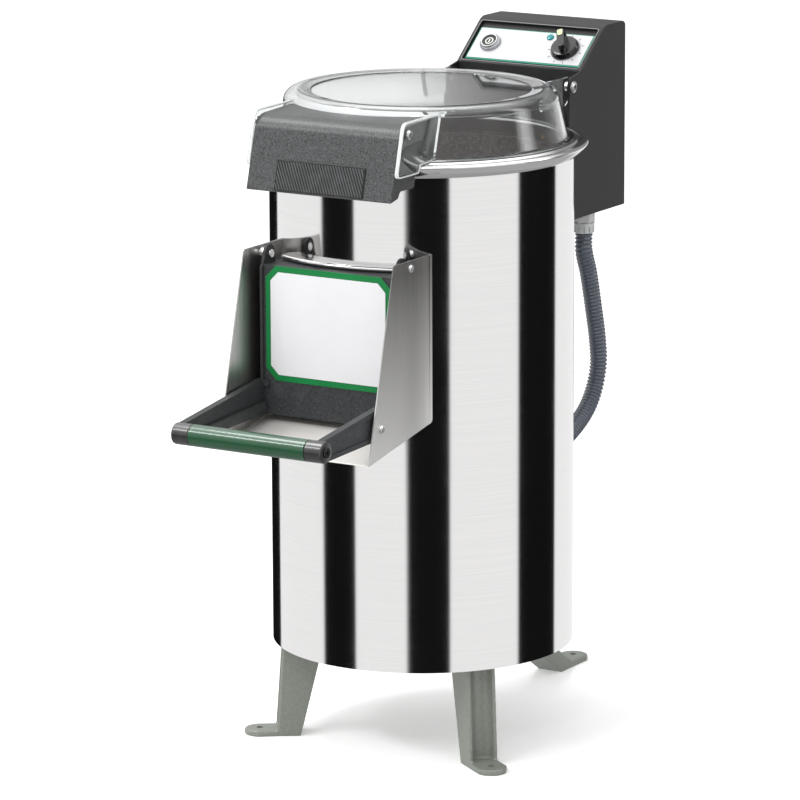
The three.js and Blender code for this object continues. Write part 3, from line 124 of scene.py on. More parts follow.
def slab(x0, x1, y0, y1, z0, z1):
    bm = bmesh.new()
    place = Matrix.Translation(((x0 + x1) / 2, (y0 + y1) / 2, (z0 + z1) / 2))
    size = Matrix.Diagonal((x1 - x0, y1 - y0, z1 - z0, 1))
    bmesh.ops.create_cube(bm, size=1, matrix=place @ size)
    return bm


def rod(radius, low, high, steps=32):
    bm = bmesh.new()
    bmesh.ops.create_cone(bm, cap_ends=True, segments=steps, radius1=radius, radius2=radius,
                          depth=high - low, matrix=Matrix.Translation((0, 0, (low + high) / 2)))
    return bm


def shifted(bm, x=0, y=0, z=0, turn=PLAIN):
    bmesh.ops.transform(bm, matrix=Matrix.Translation((x, y, z)) @ turn, verts=bm.verts)
    return bm


def cross_hole(radius, spot, reach=130):
    """A cutter right across the machine, through a place (back, up)."""
    return shifted(rod(radius, -reach, reach), 0, *spot, ALONG_X)


def outward_hole(radius, spot, steps=32, reach=206):
    """A cutter from the barrel's middle out through its back, at a place (across, up)."""
    return shifted(rod(radius, 0, reach, steps), spot[0], 0, spot[1], ALONG_Y)


def barrel_space():
    """The room that the barrel takes, with a working gap of 0.3 round it."""
    return rod(200.3, -10, 660, 192)


def outlet_space():
    """What the discharge opening takes out of the barrel and its liner."""
    return slab(-84, 84, -206, -100, 348, 512)


def softened(bm, width, segments=2, over=30, keep=None):
    """Rounds the edges whose faces meet at more than an angle."""
    bmesh.ops.recalc_face_normals(bm, faces=bm.faces)
    limit = math.radians(over)
    edges = [e for e in bm.edges if len(e.link_faces) == 2 and e.calc_face_angle() > limit
             and (keep is None or keep(e))]
    bmesh.ops.bevel(bm, geom=edges, offset=width, offset_type="OFFSET", segments=segments,
                    profile=0.5, affect="EDGES", clamp_overlap=True, material=-1)
    return bm


def gathered(*shapes):
    """Several closed shapes kept side by side in one mesh."""
    whole = shapes[0]
    for shape in shapes[1:]:
        mesh = bpy.data.meshes.new("gathered")
        shape.to_mesh(mesh)
        shape.free()
        whole.from_mesh(mesh)
        bpy.data.meshes.remove(mesh)
    return whole


def as_object(bm, name="shape"):
    mesh = bpy.data.meshes.new(name)
    bm.to_mesh(mesh)
    bm.free()
    shape = bpy.data.objects.new(name, mesh)
    bpy.context.scene.collection.objects.link(shape)
    return shape


def evaluated(shape, others=()):
    """The mesh that an object's modifiers give; the objects are thrown away."""
    bpy.context.view_layer.update()
    graph = bpy.context.evaluated_depsgraph_get()
    mesh = bpy.data.meshes.new_from_object(shape.evaluated_get(graph))
    bm = bmesh.new()
    bm.from_mesh(mesh)
    bpy.data.meshes.remove(mesh)
    for done in (shape, *others):
        old = done.data
        bpy.data.objects.remove(done)
        bpy.data.meshes.remove(old)
    return bm


def worked(bm, how, *tools):
    base = as_object(bm)
    used = [as_object(tool) for tool in tools]
    for tool in used:
        step = base.modifiers.new("work", "BOOLEAN")
        step.operation = how
        step.solver = "EXACT"
        step.object = tool
    return evaluated(base, used)


def carved(bm, *tools):
    return worked(bm, "DIFFERENCE", *tools)


def fused(bm, *tools):
    return worked(bm, "UNION", *tools)


def cast(bm, grain, rounds):
    """Melts a rough assembly of blocks into one casting with filleted corners."""
    base = as_object(bm)
    step = base.modifiers.new("melt", "REMESH")
    step.mode = "VOXEL"
    step.voxel_size = grain
    bm = evaluated(base)
    for _ in range(rounds):
        bmesh.ops.smooth_vert(bm, verts=bm.verts, factor=0.5, use_axis_x=True,
                              use_axis_y=True, use_axis_z=True)
    return bm


def sleeve(bm, rings):
    """Joins a closed round of rings into a sleeve with its bore."""
    for first, second in zip(rings, rings[1:] + rings[:1]):
        bmesh.ops.bridge_loops(bm, edges=first + second)
    bmesh.ops.recalc_face_normals(bm, faces=bm.faces)
    return bm


def ring_at(bm, spot, along, radius, segments):
    """The edges of a circle that stands square to a direction in the side view."""
    across = Vector((1, 0, 0))
    turn = Matrix((across, along.cross(across), along)).transposed().to_4x4()
    ring = bmesh.ops.create_circle(bm, cap_ends=False, radius=radius, segments=segments,
                                   matrix=Matrix.Translation(spot) @ turn)
    return list({e for v in ring["verts"] for e in v.link_edges})


def finished(name, bm, look, stands_for=(), body="machine", place=BARREL, sharp=32, even=True):
    """Brings a drawn shape to its place in metres and joins it to its body."""
    bmesh.ops.remove_doubles(bm, verts=bm.verts, dist=1e-4)
    bmesh.ops.transform(bm, matrix=place, verts=bm.verts)
    made = as_object(bm, name)
    made.data.shade_smooth()
    made.data.set_sharp_from_angle(angle=math.radians(sharp))
    made.data.materials.append(look)
    if even:
        step = made.modifiers.new("Even_Shading", "WEIGHTED_NORMAL")
        step.keep_sharp = True
        step.weight = 80
    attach(made, body)
    if stands_for:
        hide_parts(*stands_for)
    return made


# ---------------------------------------------------------------- effects

def shade(red, green, blue):
    """A colour as a screen shows it, 0 to 255, as the light value that a shader takes."""
    return tuple((c / 255) ** 2.2 for c in (red, green, blue)) + (1,)


class Wiring:
    """A node tree with short ways to add nodes and join them."""

    def __init__(self, tree):
        self.tree = tree

    def feed(self, socket, value):
        if isinstance(value, bpy.types.NodeSocket):
            self.tree.links.new(value, socket)
        else:
            socket.default_value = value

    def add(self, kind, settings=None, **inputs):
        made = self.tree.nodes.new(kind)
        for key, value in (settings or {}).items():
            setattr(made, key, value)
        for key, value in inputs.items():
            self.feed(made.inputs[key.replace("_", " ")], value)
        return made

    def vector(self, operation, first, second):
        made = self.add("ShaderNodeVectorMath", {"operation": operation})
        self.feed(made.inputs[0], first)
        self.feed(made.inputs[1], second)
        return made.outputs

    def calc(self, operation, *values):
        made = self.add("ShaderNodeMath", {"operation": operation})
        for i, value in enumerate(values):
            self.feed(made.inputs[i], value)
        return made.outputs[0]

    def blend(self, factor, first, second):
        made = self.add("ShaderNodeMix", {"data_type": "RGBA"}, Factor=factor)
        self.feed(made.inputs[6], first)
        self.feed(made.inputs[7], second)
        return made.outputs[2]

    def spread(self, value, low, high, to_low=0.0, to_high=1.0):
        return self.add("ShaderNodeMapRange", {"clamp": True}, Value=value, From_Min=low,
                        From_Max=high, To_Min=to_low, To_Max=to_high).outputs[0]

    def noise(self, place, scale, detail, roughness, **more):
        return self.add("ShaderNodeTexNoise", Vector=place, Scale=scale, Detail=detail,
                        Roughness=roughness, **more).outputs["Fac"]


GREY = (0.5, 0.5, 0.5, 1.0)


def new_effect(name, inputs):
    """An empty node group, with its wiring, inputs, outputs and the place on the piece."""
    tree = bpy.data.node_groups.new(name, "ShaderNodeTree")
    kinds = {float: "NodeSocketFloat", tuple: "NodeSocketColor", list: "NodeSocketVector"}
    for label, value in inputs.items():
        socket = tree.interface.new_socket(label, in_out="INPUT", socket_type=kinds[type(value)])
        socket.default_value = value
    for label, kind in (("Color", tuple), ("Roughness", float), ("Height", float)):
        tree.interface.new_socket(label, in_out="OUTPUT", socket_type=kinds[kind])
    taken = tree.nodes.new("NodeGroupInput")
    given = tree.nodes.new("NodeGroupOutput")
    wires = Wiring(tree)
    return wires, taken.outputs, given.inputs, wires.add("ShaderNodeTexCoord").outputs["Object"]


def brushed_effect():
    """Grain drawn out along one direction, with soft handling marks across it, and a painted
    reflection: between two heights in metres the tone fades upwards from the painted reflection
    tone to the plain tone.
    """
    w, take, give, place = new_effect("Brushed_Grain", {
        "Tone": GREY, "Grain Tone": GREY, "Stretch": [4.0, 4.0, 900.0], "Contrast": 0.3,
        "Roughness": 0.15, "Variation": 0.05, "Marks": 0.1, "Low Tone": GREY,
        "Fade Low": -2.0, "Fade High": -1.0})
    drawn = w.vector("MULTIPLY", place, take["Stretch"])[0]
    grain = w.spread(w.noise(drawn, 1.0, 6.0, 0.65), 0.3, 0.7)
    smudge = w.spread(w.noise(place, 5.5, 5.0, 0.6), 0.5, 0.75)
    # Painted reflection: below Fade Low the colour is the painted reflection tone, above Fade High
    # the plain tone; the defaults keep it out of use.
    height = w.add("ShaderNodeSeparateXYZ", Vector=place).outputs["Z"]
    tone = w.blend(w.spread(height, take["Fade Low"], take["Fade High"]), take["Low Tone"],
                   take["Tone"])
    w.feed(give["Color"], w.blend(w.calc("MULTIPLY", grain, take["Contrast"]), tone,
                                  take["Grain Tone"]))
    rough = w.calc("MULTIPLY_ADD", grain, take["Variation"], take["Roughness"])
    w.feed(give["Roughness"], w.calc("MULTIPLY_ADD", smudge, take["Marks"], rough))
    w.feed(give["Height"], grain)
    return w.tree


def moulded_effect():
    """The fine pebble of a moulded or powder-coated face, with slow changes of roughness."""
    w, take, give, place = new_effect("Pebbled_Skin", {
        "Tone": GREY, "Pebble Tone": GREY, "Worn Tone": GREY, "Scale": 900.0, "Contrast": 0.5,
        "Roughness": 0.5, "Variation": 0.1, "Edge Wear": 0.0})
    pebble = w.spread(w.noise(place, take["Scale"], 2.0, 0.6), 0.36, 0.64)
    patch = w.spread(w.noise(place, 9.0, 4.0, 0.55), 0.35, 0.7)
    tone = w.blend(w.calc("MULTIPLY", pebble, take["Contrast"]), take["Tone"],
                   take["Pebble Tone"])
    edge = w.spread(w.add("ShaderNodeNewGeometry").outputs["Pointiness"], 0.53, 0.62)
    broken = w.spread(w.noise(place, 60.0, 4.0, 0.7), 0.42, 0.62)
    worn = w.calc("MULTIPLY", w.calc("MULTIPLY", edge, broken), take["Edge Wear"])
    w.feed(give["Color"], w.blend(worn, tone, take["Worn Tone"]))
    rough = w.calc("MULTIPLY_ADD", patch, take["Variation"], take["Roughness"])
    w.feed(give["Roughness"], w.calc("MULTIPLY_ADD", pebble, 0.08, rough))
    w.feed(give["Height"], pebble)
    return w.tree


def grit_effect():
    """Bonded grit: sharp grains of several tones over their binder."""
    w, take, give, place = new_effect("Bonded_Grit", {
        "Tone": GREY, "Grain Tone": GREY, "Scale": 420.0, "Roughness": 0.8})
    grains = w.add("ShaderNodeTexVoronoi", Vector=place, Scale=take["Scale"]).outputs
    tall = w.spread(grains["Distance"], 0.0, 0.75, 1.0, 0.0)
    pick = w.add("ShaderNodeSeparateColor", Color=grains["Color"]).outputs["Red"]
    w.feed(give["Color"], w.blend(w.calc("MULTIPLY", pick, tall), take["Tone"],
                                  take["Grain Tone"]))
    w.feed(give["Roughness"], w.calc("MULTIPLY_ADD", pick, -0.25, take["Roughness"]))
    w.feed(give["Height"], tall)
    return w.tree


def printed_effect():
    """Ink or film on a sheet: a faint stipple and a little yellowing in slow patches."""
    w, take, give, place = new_effect("Printed_Film", {
        "Tone": GREY, "Aged Tone": GREY, "Roughness": 0.35})
    dots = w.noise(place, 1400.0, 1.0, 0.5)
    slow = w.noise(place, 14.0, 3.0, 0.6)
    mixed = w.calc("ADD", w.calc("MULTIPLY", w.spread(dots, 0.3, 0.7), 0.25),
                   w.calc("MULTIPLY", w.spread(slow, 0.4, 0.7), 0.6))
    w.feed(give["Color"], w.blend(mixed, take["Tone"], take["Aged Tone"]))
    w.feed(give["Roughness"], w.calc("MULTIPLY_ADD", dots, 0.12, take["Roughness"]))
    w.feed(give["Height"], dots)
    return w.tree


def clear_effect():
    """A clear moulding: faint flow lines and a haze of fine handling scratches."""
    w, take, give, place = new_effect("Clear_Moulding", {
        "Tone": GREY, "Haze Tone": GREY, "Roughness": 0.02, "Haze": 0.05})
    haze = w.spread(w.noise(place, 220.0, 5.0, 0.7), 0.55, 0.8)
    w.feed(give["Color"], w.blend(haze, take["Tone"], take["Haze Tone"]))
    w.feed(give["Roughness"], w.calc("MULTIPLY_ADD", haze, take["Haze"], take["Roughness"]))
    w.feed(give["Height"], w.noise(place, 7.0, 2.0, 0.4, Distortion=0.6))
    return w.tree


BRUSHED = brushed_effect()
PEBBLED = moulded_effect()
GRITTY = grit_effect()
PRINTED = printed_effect()
CLEAR = clear_effect()


# ---------------------------------------------------------------- finishes


def finish(name, slot, effect, look, relief, **shader):
    """A material: an effect on one shader, its relief a depth in mm and a strength."""
    material = bpy.data.materials.new(name)
    material.use_nodes = True
    tree = material.node_tree
    body = tree.nodes["Principled BSDF"]
    used = tree.nodes.new("ShaderNodeGroup")
    used.node_tree = effect
    for key, value in look.items():
        used.inputs[key].default_value = value
    tree.links.new(used.outputs["Color"], body.inputs["Base Color"])
    tree.links.new(used.outputs["Roughness"], body.inputs["Roughness"])
    depth, strength = relief
    if depth:
        bump = Wiring(tree).add("ShaderNodeBump", Height=used.outputs["Height"],
                                Distance=depth * 0.001, Strength=strength)
        tree.links.new(bump.outputs["Normal"], body.inputs["Normal"])
    for key, value in shader.items():
        body.inputs[key.replace("_", " ")].default_value = value
    return material


def metal(name, slot, tone, grain, stretch, contrast, rough, relief, painted_reflection=None, **shader):
    """Brushed metal; rough is the roughness, how the grain varies it and its marks. The optional
    painted reflection is a tone and the two heights in metres over which it fades upwards into the
    plain tone.
    """
    look = {"Tone": shade(*tone), "Grain Tone": shade(*grain), "Stretch": stretch,
            "Contrast": contrast, "Roughness": rough[0], "Variation": rough[1],
            "Marks": rough[2]}
    if painted_reflection:
        reflection_tone, look["Fade Low"], look["Fade High"] = painted_reflection
        look["Low Tone"] = shade(*reflection_tone)
    return finish(name, slot, BRUSHED, look, relief, **{"Metallic": 1.0, **shader})


def coat(name, slot, tone, pebble, worn, scale, contrast, rough, wear, relief, **shader):
    """Pebbled plastic, rubber or paint; rough is the roughness and how patches vary it."""
    return finish(name, slot, PEBBLED, {
        "Tone": shade(*tone), "Pebble Tone": shade(*pebble), "Worn Tone": shade(*worn),
        "Scale": scale, "Contrast": contrast, "Roughness": rough[0], "Variation": rough[1],
        "Edge Wear": wear}, relief, **shader)


def ink(name, slot, tone, aged, rough, relief=(0.01, 0.2), **shader):
    return finish(name, slot, PRINTED, {
        "Tone": shade(*tone), "Aged Tone": shade(*aged), "Roughness": rough}, relief, **shader)


def clear(name, slot, tone, haze_tone, rough, haze, relief, passing, bending):
    """Clear plastic; passing is the share of light let through and bending its index."""
    return finish(name, slot, CLEAR, {
        "Tone": shade(*tone), "Haze Tone": shade(*haze_tone), "Roughness": rough,
        "Haze": haze}, relief, Transmission_Weight=passing, IOR=bending)


BARREL_STEEL = metal("Barrel_Steel", "steel", (229, 228, 228), (238, 237, 236),
                     (5, 5, 1100), 0.9, (0.075, 0.02, 0.02), (0.008, 0.08))
CHUTE_STEEL = metal("Chute_Steel", "steel", (196, 194, 192), (222, 220, 218),
                    (900, 900, 6), 0.8, (0.3, 0.06, 0.04), (0.02, 0.25))
# The right chute plate's steel carries a painted reflection: near white up to 0.45 m, fading to
# dark grey by 0.67 m, in place of the dark and bright reflections on the sheet.
PLATE_STEEL_PAINTED_REFLECTION = metal("Chute_Plate_Painted_Reflection", "steel", (104, 103, 102), (222, 220, 218),
                    (900, 900, 6), 0.25, (0.34, 0.06, 0.04), (0.02, 0.25),
                    ((252, 251, 250), 0.45, 0.67), Metallic=0.8)
FLOOR_STEEL = metal("Chute_Floor_Steel", "steel", (230, 226, 222), (242, 240, 237),
                    (900, 8, 8), 0.7, (0.5, 0.06, 0.06), (0.02, 0.2), Metallic=0.2)
RIM_STEEL = metal("Polished_Steel", "bright_steel", (233, 233, 233), (243, 243, 243),
                  (6, 6, 1500), 0.6, (0.09, 0.03, 0.03), (0.006, 0.1))
FASTENER_STEEL = metal("Fastener_Steel", "bright_steel", (208, 208, 208), (228, 228, 228),
                       (600, 600, 600), 0.5, (0.2, 0.06, 0.05), (0.01, 0.15))
MACHINED_ALUMINIUM = metal("Cast_Aluminium", "bright_steel", (160, 162, 164),
                           (186, 188, 190), (160, 160, 220), 0.7, (0.38, 0.1, 0.08),
                           (0.05, 0.3))
BRASS = metal("Brass", "brass", (176, 138, 74), (196, 160, 96), (300, 300, 300), 0.5,
              (0.26, 0.08, 0.06), (0.02, 0.2))
LEG_PAINT = coat("Leg_Hammer_Paint", "cast_paint", (128, 132, 124), (140, 145, 137),
                 (176, 180, 176), 260, 0.6, (0.34, 0.12), 0.5, (0.08, 0.25), Metallic=0.25,
                 Coat_Weight=0.25, Coat_Roughness=0.2)
MOTOR_PAINT = coat("Motor_Paint", None, (74, 86, 96), (88, 100, 110), (140, 146, 150), 300,
                   0.6, (0.45, 0.12), 0.6, (0.08, 0.3))
HANDLE_PLASTIC = coat("Handle_Charcoal", "charcoal_plastic", (38, 39, 40), (88, 89, 90),
                      (104, 106, 108), 520, 0.8, (0.36, 0.08), 0.3, (0.12, 0.4),
                      Specular_IOR_Level=0.4, Coat_Weight=0.25, Coat_Roughness=0.3)
DOOR_PLASTIC = coat("Door_Charcoal", "charcoal_plastic", (48, 49, 50), (80, 82, 84),
                    (100, 102, 104), 640, 0.5, (0.36, 0.08), 0.3, (0.14, 0.45),
                    Specular_IOR_Level=0.25)
BOX_PAINT = coat("Box_Powder_Paint", "box_paint", (34, 34, 35), (46, 46, 47), (84, 84, 85),
                 700, 0.6, (0.36, 0.06), 0.2, (0.06, 0.3), Specular_IOR_Level=0.35)
# The box's black paint, made grey for the bead round the panel recess: a painted highlight along
# the recess edges.
BEAD_PAINTED_HIGHLIGHT = coat("Recess_Bead_Painted_Highlight", "box_paint", (104, 105, 106), (120, 121, 122),
                 (170, 171, 172), 700, 0.5, (0.3, 0.06), 0.2, (0.03, 0.2))
PAD_RUBBER = coat("Pad_Rubber", "black_plastic", (22, 23, 24), (32, 33, 34), (60, 61, 62),
                  900, 0.5, (0.4, 0.08), 0.3, (0.05, 0.3))
# The pad's own black rubber, made lighter for the rib faces: painted light falling on the ribs
# from above, leaving the pad between them dark.
RIB_RUBBER_PAINTED_LIGHT = coat("Pad_Rib_Rubber_Painted_Light", "black_plastic", (64, 65, 66), (76, 77, 78),
                  (104, 105, 106), 900, 0.5, (0.34, 0.08), 0.3, (0.05, 0.3))
END_BLACK = coat("Handle_End_Black", "charcoal_plastic", (26, 26, 27), (48, 48, 49),
                 (90, 90, 91), 640, 0.5, (0.3, 0.08), 0.3, (0.06, 0.3), Coat_Weight=1.0,
                 Coat_Roughness=0.22)
GLOSS_BLACK = coat("Gloss_Black_Plastic", "knob_black", (16, 16, 17), (24, 24, 25),
                   (60, 60, 62), 500, 0.4, (0.16, 0.08), 0.15, (0.02, 0.15),
                   Coat_Weight=0.3, Coat_Roughness=0.08)
SEAL_RUBBER = coat("Seal_Rubber", None, (28, 28, 28), (42, 42, 42), (64, 64, 64), 400, 0.5,
                   (0.7, 0.1), 0.1, (0.05, 0.3))
HOSE_GREY = coat("Conduit_Slate", "conduit_grey", (64, 70, 82), (80, 86, 98),
                 (120, 126, 136), 300, 0.5, (0.26, 0.06), 0.25, (0.02, 0.15),
                 Coat_Weight=0.8, Coat_Roughness=0.12)
GLAND_GREY = coat("Gland_Grey", "gland_grey", (182, 183, 184), (194, 195, 196),
                  (190, 192, 194), 420, 0.5, (0.42, 0.1), 0.3, (0.04, 0.25))
TUBE_GREEN = ink("Tube_Green_Coating", "green_tube", (2, 66, 38), (5, 76, 44), 0.4,
                 (0.01, 0.1), Metallic=0.1, Coat_Weight=1.0, Coat_Roughness=0.17)
GREEN_INK = ink("Label_Green_Ink", "green_print", (0, 114, 56), (6, 124, 66), 0.32)
TEAL_INK = ink("Panel_Teal_Ink", "teal_print", (36, 158, 128), (52, 166, 138), 0.32)
WHITE_FILM = ink("White_Label_Film", "white_print", (214, 214, 216), (209, 209, 211), 0.35,
                 Specular_IOR_Level=0.3)
TICK_INK = ink("Dial_Tick_Ink", "knob_black", (34, 38, 40), (56, 60, 62), 0.4)
MARK_CREAM = ink("Button_Mark_Ink", "white_print", (238, 238, 232), (222, 222, 214), 0.35)
INDEX_LIME = ink("Knob_Index_Lime", "index_yellow", (212, 222, 178), (200, 210, 168), 0.35)
LAMP_TEAL = clear("Lamp_Teal_Lens", "lamp_teal", (10, 150, 156), (50, 172, 180), 0.12, 0.1,
                  (0.1, 0.2), 0.25, 1.5)
LID_PLASTIC = clear("Lid_Clear_Plastic", "clear_plastic", (244, 246, 246), (250, 250, 250),
                    0.03, 0.04, (0.3, 0.12), 1.0, 1.56)
# A whiter, less clear copy of the lid plastic for the ear edges: a painted highlight where the
# clear edges catch the light.
EDGE_CLEAR_PAINTED_HIGHLIGHT = clear("Lid_Edge_Painted_Highlight", "clear_plastic", (246, 248, 248), (252, 252, 252),
                   0.18, 0.1, (0.1, 0.1), 0.45, 1.5)
GRIT = finish("Abrasive_Grit", "abrasive", GRITTY, {
    "Tone": shade(80, 70, 66), "Grain Tone": shade(144, 134, 128), "Scale": 420.0,
    "Roughness": 0.85}, (0.5, 0.8))


# ---------------------------------------------------------------- camera, then the conduit

def aim_camera():
    lens = bpy.data.cameras.new("View")
    lens.lens = 224.75
    lens.sensor_width = 36
    lens.clip_start = 0.1
    lens.clip_end = 60
    camera = bpy.data.objects.new("View", lens)
    bpy.context.scene.collection.objects.link(camera)
    tilt_down, roll = 12.3765, -0.2092
    camera.matrix_world = (
        Matrix.Translation((3.3271, -5.52947, 1.73549 + LEG_HEIGHT / 1000))
        @ Matrix.Rotation(VIEW_TURN, 4, "Z")
        @ Matrix.Rotation(math.radians(90 - tilt_down), 4, "X")
        @ Matrix.Rotation(math.radians(roll), 4, "Z"))
    bpy.context.scene.camera = camera


HOSE_ROUTE = [(297, 504.4), (297, 480), (310, 447), (324, 398), (336, 350), (339, 314),
              (327, 281), (301, 254), (241.7, 228), (217.3, 228)]
RIB_PITCH = 5.4
STEPS_PER_RIB = 50


def smooth_route(points, count):
    """Points along a centripetal curve through the given ones, evenly spread by length."""
    ends = [points[0] * 2 - points[1], *points, points[-1] * 2 - points[-2]]
    line = []
    for a, b, c, d in zip(ends, ends[1:], ends[2:], ends[3:]):
        t1 = (b - a).length ** 0.5
        t2 = t1 + (c - b).length ** 0.5
        t3 = t2 + (d - c).length ** 0.5
        for i in range(40):
            t = t1 + (t2 - t1) * i / 40
            p = a.lerp(b, t / t1)
            q = b.lerp(c, (t - t1) / (t2 - t1))
            r = c.lerp(d, (t - t2) / (t3 - t2))
            line.append(p.lerp(q, t / t2).lerp(q.lerp(r, (t - t1) / (t3 - t1)),
                                               (t - t1) / (t2 - t1)))
    line.append(points[-1])
    lengths = [0]
    for a, b in zip(line, line[1:]):
        lengths.append(lengths[-1] + (b - a).length)
    spots, at = [], 0
    for i in range(count + 1):
        goal = lengths[-1] * i / count
        while at < len(line) - 2 and lengths[at + 1] < goal:
            at += 1
        share = (goal - lengths[at]) / (lengths[at + 1] - lengths[at])
        spots.append(line[at].lerp(line[at + 1], share))
    return spots, lengths[-1]


def make_conduit():
    """A ribbed sleeve along its route: ribs rise, round over and fall, and a bore runs through."""
    points = [Vector((HOSE_X, y, z)) for y, z in HOSE_ROUTE]
    _, length = smooth_route(points, 10)
    ribs = round(length / RIB_PITCH)
    per_rib = ((0, 10.4), (0.14, 10.5), (0.3, 11.8), (0.5, 12.2), (0.7, 11.8), (0.86, 10.5))
    last = ribs * STEPS_PER_RIB
    spots, length = smooth_route(points, last)
    line, _ = smooth_route(points, 60)
    bm = bmesh.new()

    def section(share, radius):
        at = round(share * last)
        along = (spots[min(at + 1, last)] - spots[max(at - 1, 0)]).normalized()
        if share <= 0:
            along = Vector((0, 0, -1))
        if share >= 1:
            along = Vector((0, -1, 0))
        return ring_at(bm, spots[at], along, radius, 24)

    rings = [section((i + part) / ribs, radius) for i in range(ribs)
             for part, radius in per_rib]
    rings.append(section(1, 10.4))
    rings += [section(i / ribs, 8) for i in range(ribs, 0, -4)]
    rings.append(section(0, 8))
    hose = finished("Conduit", sleeve(bm, rings), HOSE_GREY, ["Conduit_Hose"], sharp=60,
                    even=False)


# ---------------------------------------------------------------- barrel, rim and chamber

def make_barrel():
    shell = turned([(198.5, 0), (200, 0), (200, 656), (198.5, 656)], 192, ring=True)
    shell = carved(shell, outlet_space(), outward_hole(22.3, DRAIN_AT, 48),
                   outward_hole(8.3, INLET_AT), outward_hole(9.3, HOSE_END_AT))
    finished("Barrel_Shell", shell, BARREL_STEEL, ["Barrel_Casing"])

    liner = turned([(192.2, 316.3), (198.2, 316.3), (198.2, 645), (192.2, 645)], 144,
                   ring=True)
    liner = carved(liner, outlet_space(), outward_hole(8.3, INLET_AT))
    finished("Abrasive_Liner", liner, GRIT, ["Chamber_Liner"])


def make_rim():
    profile = [
        (194.5, 645.3), (198.2, 645.3), (198.2, 655.2), (198.4, 656.6), (199.4, 656.6),
        (200.2, 656.6), (200.5, 656.2), (200.5, 655.4), (200.5, 651.8), (200.9, 651.2),
        (203, 651), (210, 655.2), (217.4, 664.2), (218.4, 666), (218.1, 667.6),
        (216.4, 668.9), (213.6, 669.9), (210.8, 670.3), (209, 670), (207.6, 668.9),
        (206.4, 668.3), (204.8, 668.3), (203.6, 669.5), (202.2, 671.1), (200, 671.5),
        (197, 671.5), (195.2, 671.2), (194.5, 669.8)]
    rim = finished("Barrel_Rim", turned(profile, 160, ring=True), RIM_STEEL,
                   ["Barrel_Top_Rim"], sharp=60, even=False)
    smooth = rim.modifiers.new("Rolled_Edge", "SUBSURF")
    smooth.levels = smooth.render_levels = 1


def make_chamber():
    floor = turned([(20.3, 310), (198.2, 310), (198.2, 316), (60, 316), (40, 317), (38, 320),
                    (20.3, 320)], 96, ring=True)
    floor = carved(floor, shifted(rod(19.5, 300, 330, 48), -75, 115))
    finished("Chamber_Floor_Dish", floor, FLOOR_STEEL, ["Chamber_Floor"])

    disc = turned([(12.8, 320.4), (30, 320.4), (30, 330), (186.5, 330), (188, 331.5),
                   (188, 338.5), (186.5, 340), (12.8, 340)], 144, ring=True)
    for i in range(3):
        ridge = softened(rod(9, 38, 166), 3, 3, 60)
        turn = Matrix.Rotation(math.tau * i / 3, 4, "Z") @ ALONG_X
        disc = fused(disc, shifted(ridge, 0, 0, 340, turn))
    finished("Abrasive_Turntable", disc, GRIT, ["Abrasive_Disc"], "disc_rotor")

    nut = turned([(0, 348.3), (12.8, 348.3), (12.8, 340.3), (23, 340.3), (24, 341.5),
                  (24, 352.3), (22.5, 356.5), (18.7, 361), (13, 363.6), (6.5, 364.2),
                  (0, 364.3)], 64)
    finished("Disc_Nut_Dome", nut, FASTENER_STEEL, ["Disc_Dome_Nut"], "disc_rotor", sharp=40)


def make_leg(name, turn, reach, depth):
    """A cast channel, open outwards, on a round bolt tab."""
    outer = reach - 22
    inner = outer - depth
    low, tab_top = -LEG_HEIGHT, 8 - LEG_HEIGHT
    root = 188
    strut = cut_from([(-131, 5.7), (-inner, low), (-outer, low), (-root, -3.3), (-root, 5.7)],
                     -20, 20, SIDE)
    lean = math.atan2(outer - root, LEG_HEIGHT - 3.3)
    groove = shifted(rod(15.2, tab_top - low - 7, LEG_HEIGHT + 30, 48), 0, -outer - 1,
                     low + 0.5, Matrix.Rotation(-lean, 4, "X"))
    groove = worked(groove, "INTERSECT", slab(-30, 30, -reach - 60, 0, tab_top, 12))
    cap = slab(-14, 14, -190, -165, -3.3, 5.7)
    leg = fused(carved(strut, groove), cap, shifted(rod(20.5, low, tab_top, 64), 0, -reach),
                slab(-20, 20, -reach, -outer + 12, low, tab_top))
    leg = cast(leg, 1.3, 5)
    bottom = min(v.co.z for v in leg.verts)
    for vert in leg.verts:
        if vert.co.z < bottom + 0.6:
            vert.co.z = low
    leg = carved(leg, shifted(rod(4.5, low - 9, low + 22), 0, -reach))
    finished(name + "_Casting", leg, LEG_PAINT, [name],
             place=BARREL @ Matrix.Rotation(turn, 4, "Z"), sharp=50, even=False)


# ---------------------------------------------------------------- chute and its bolts

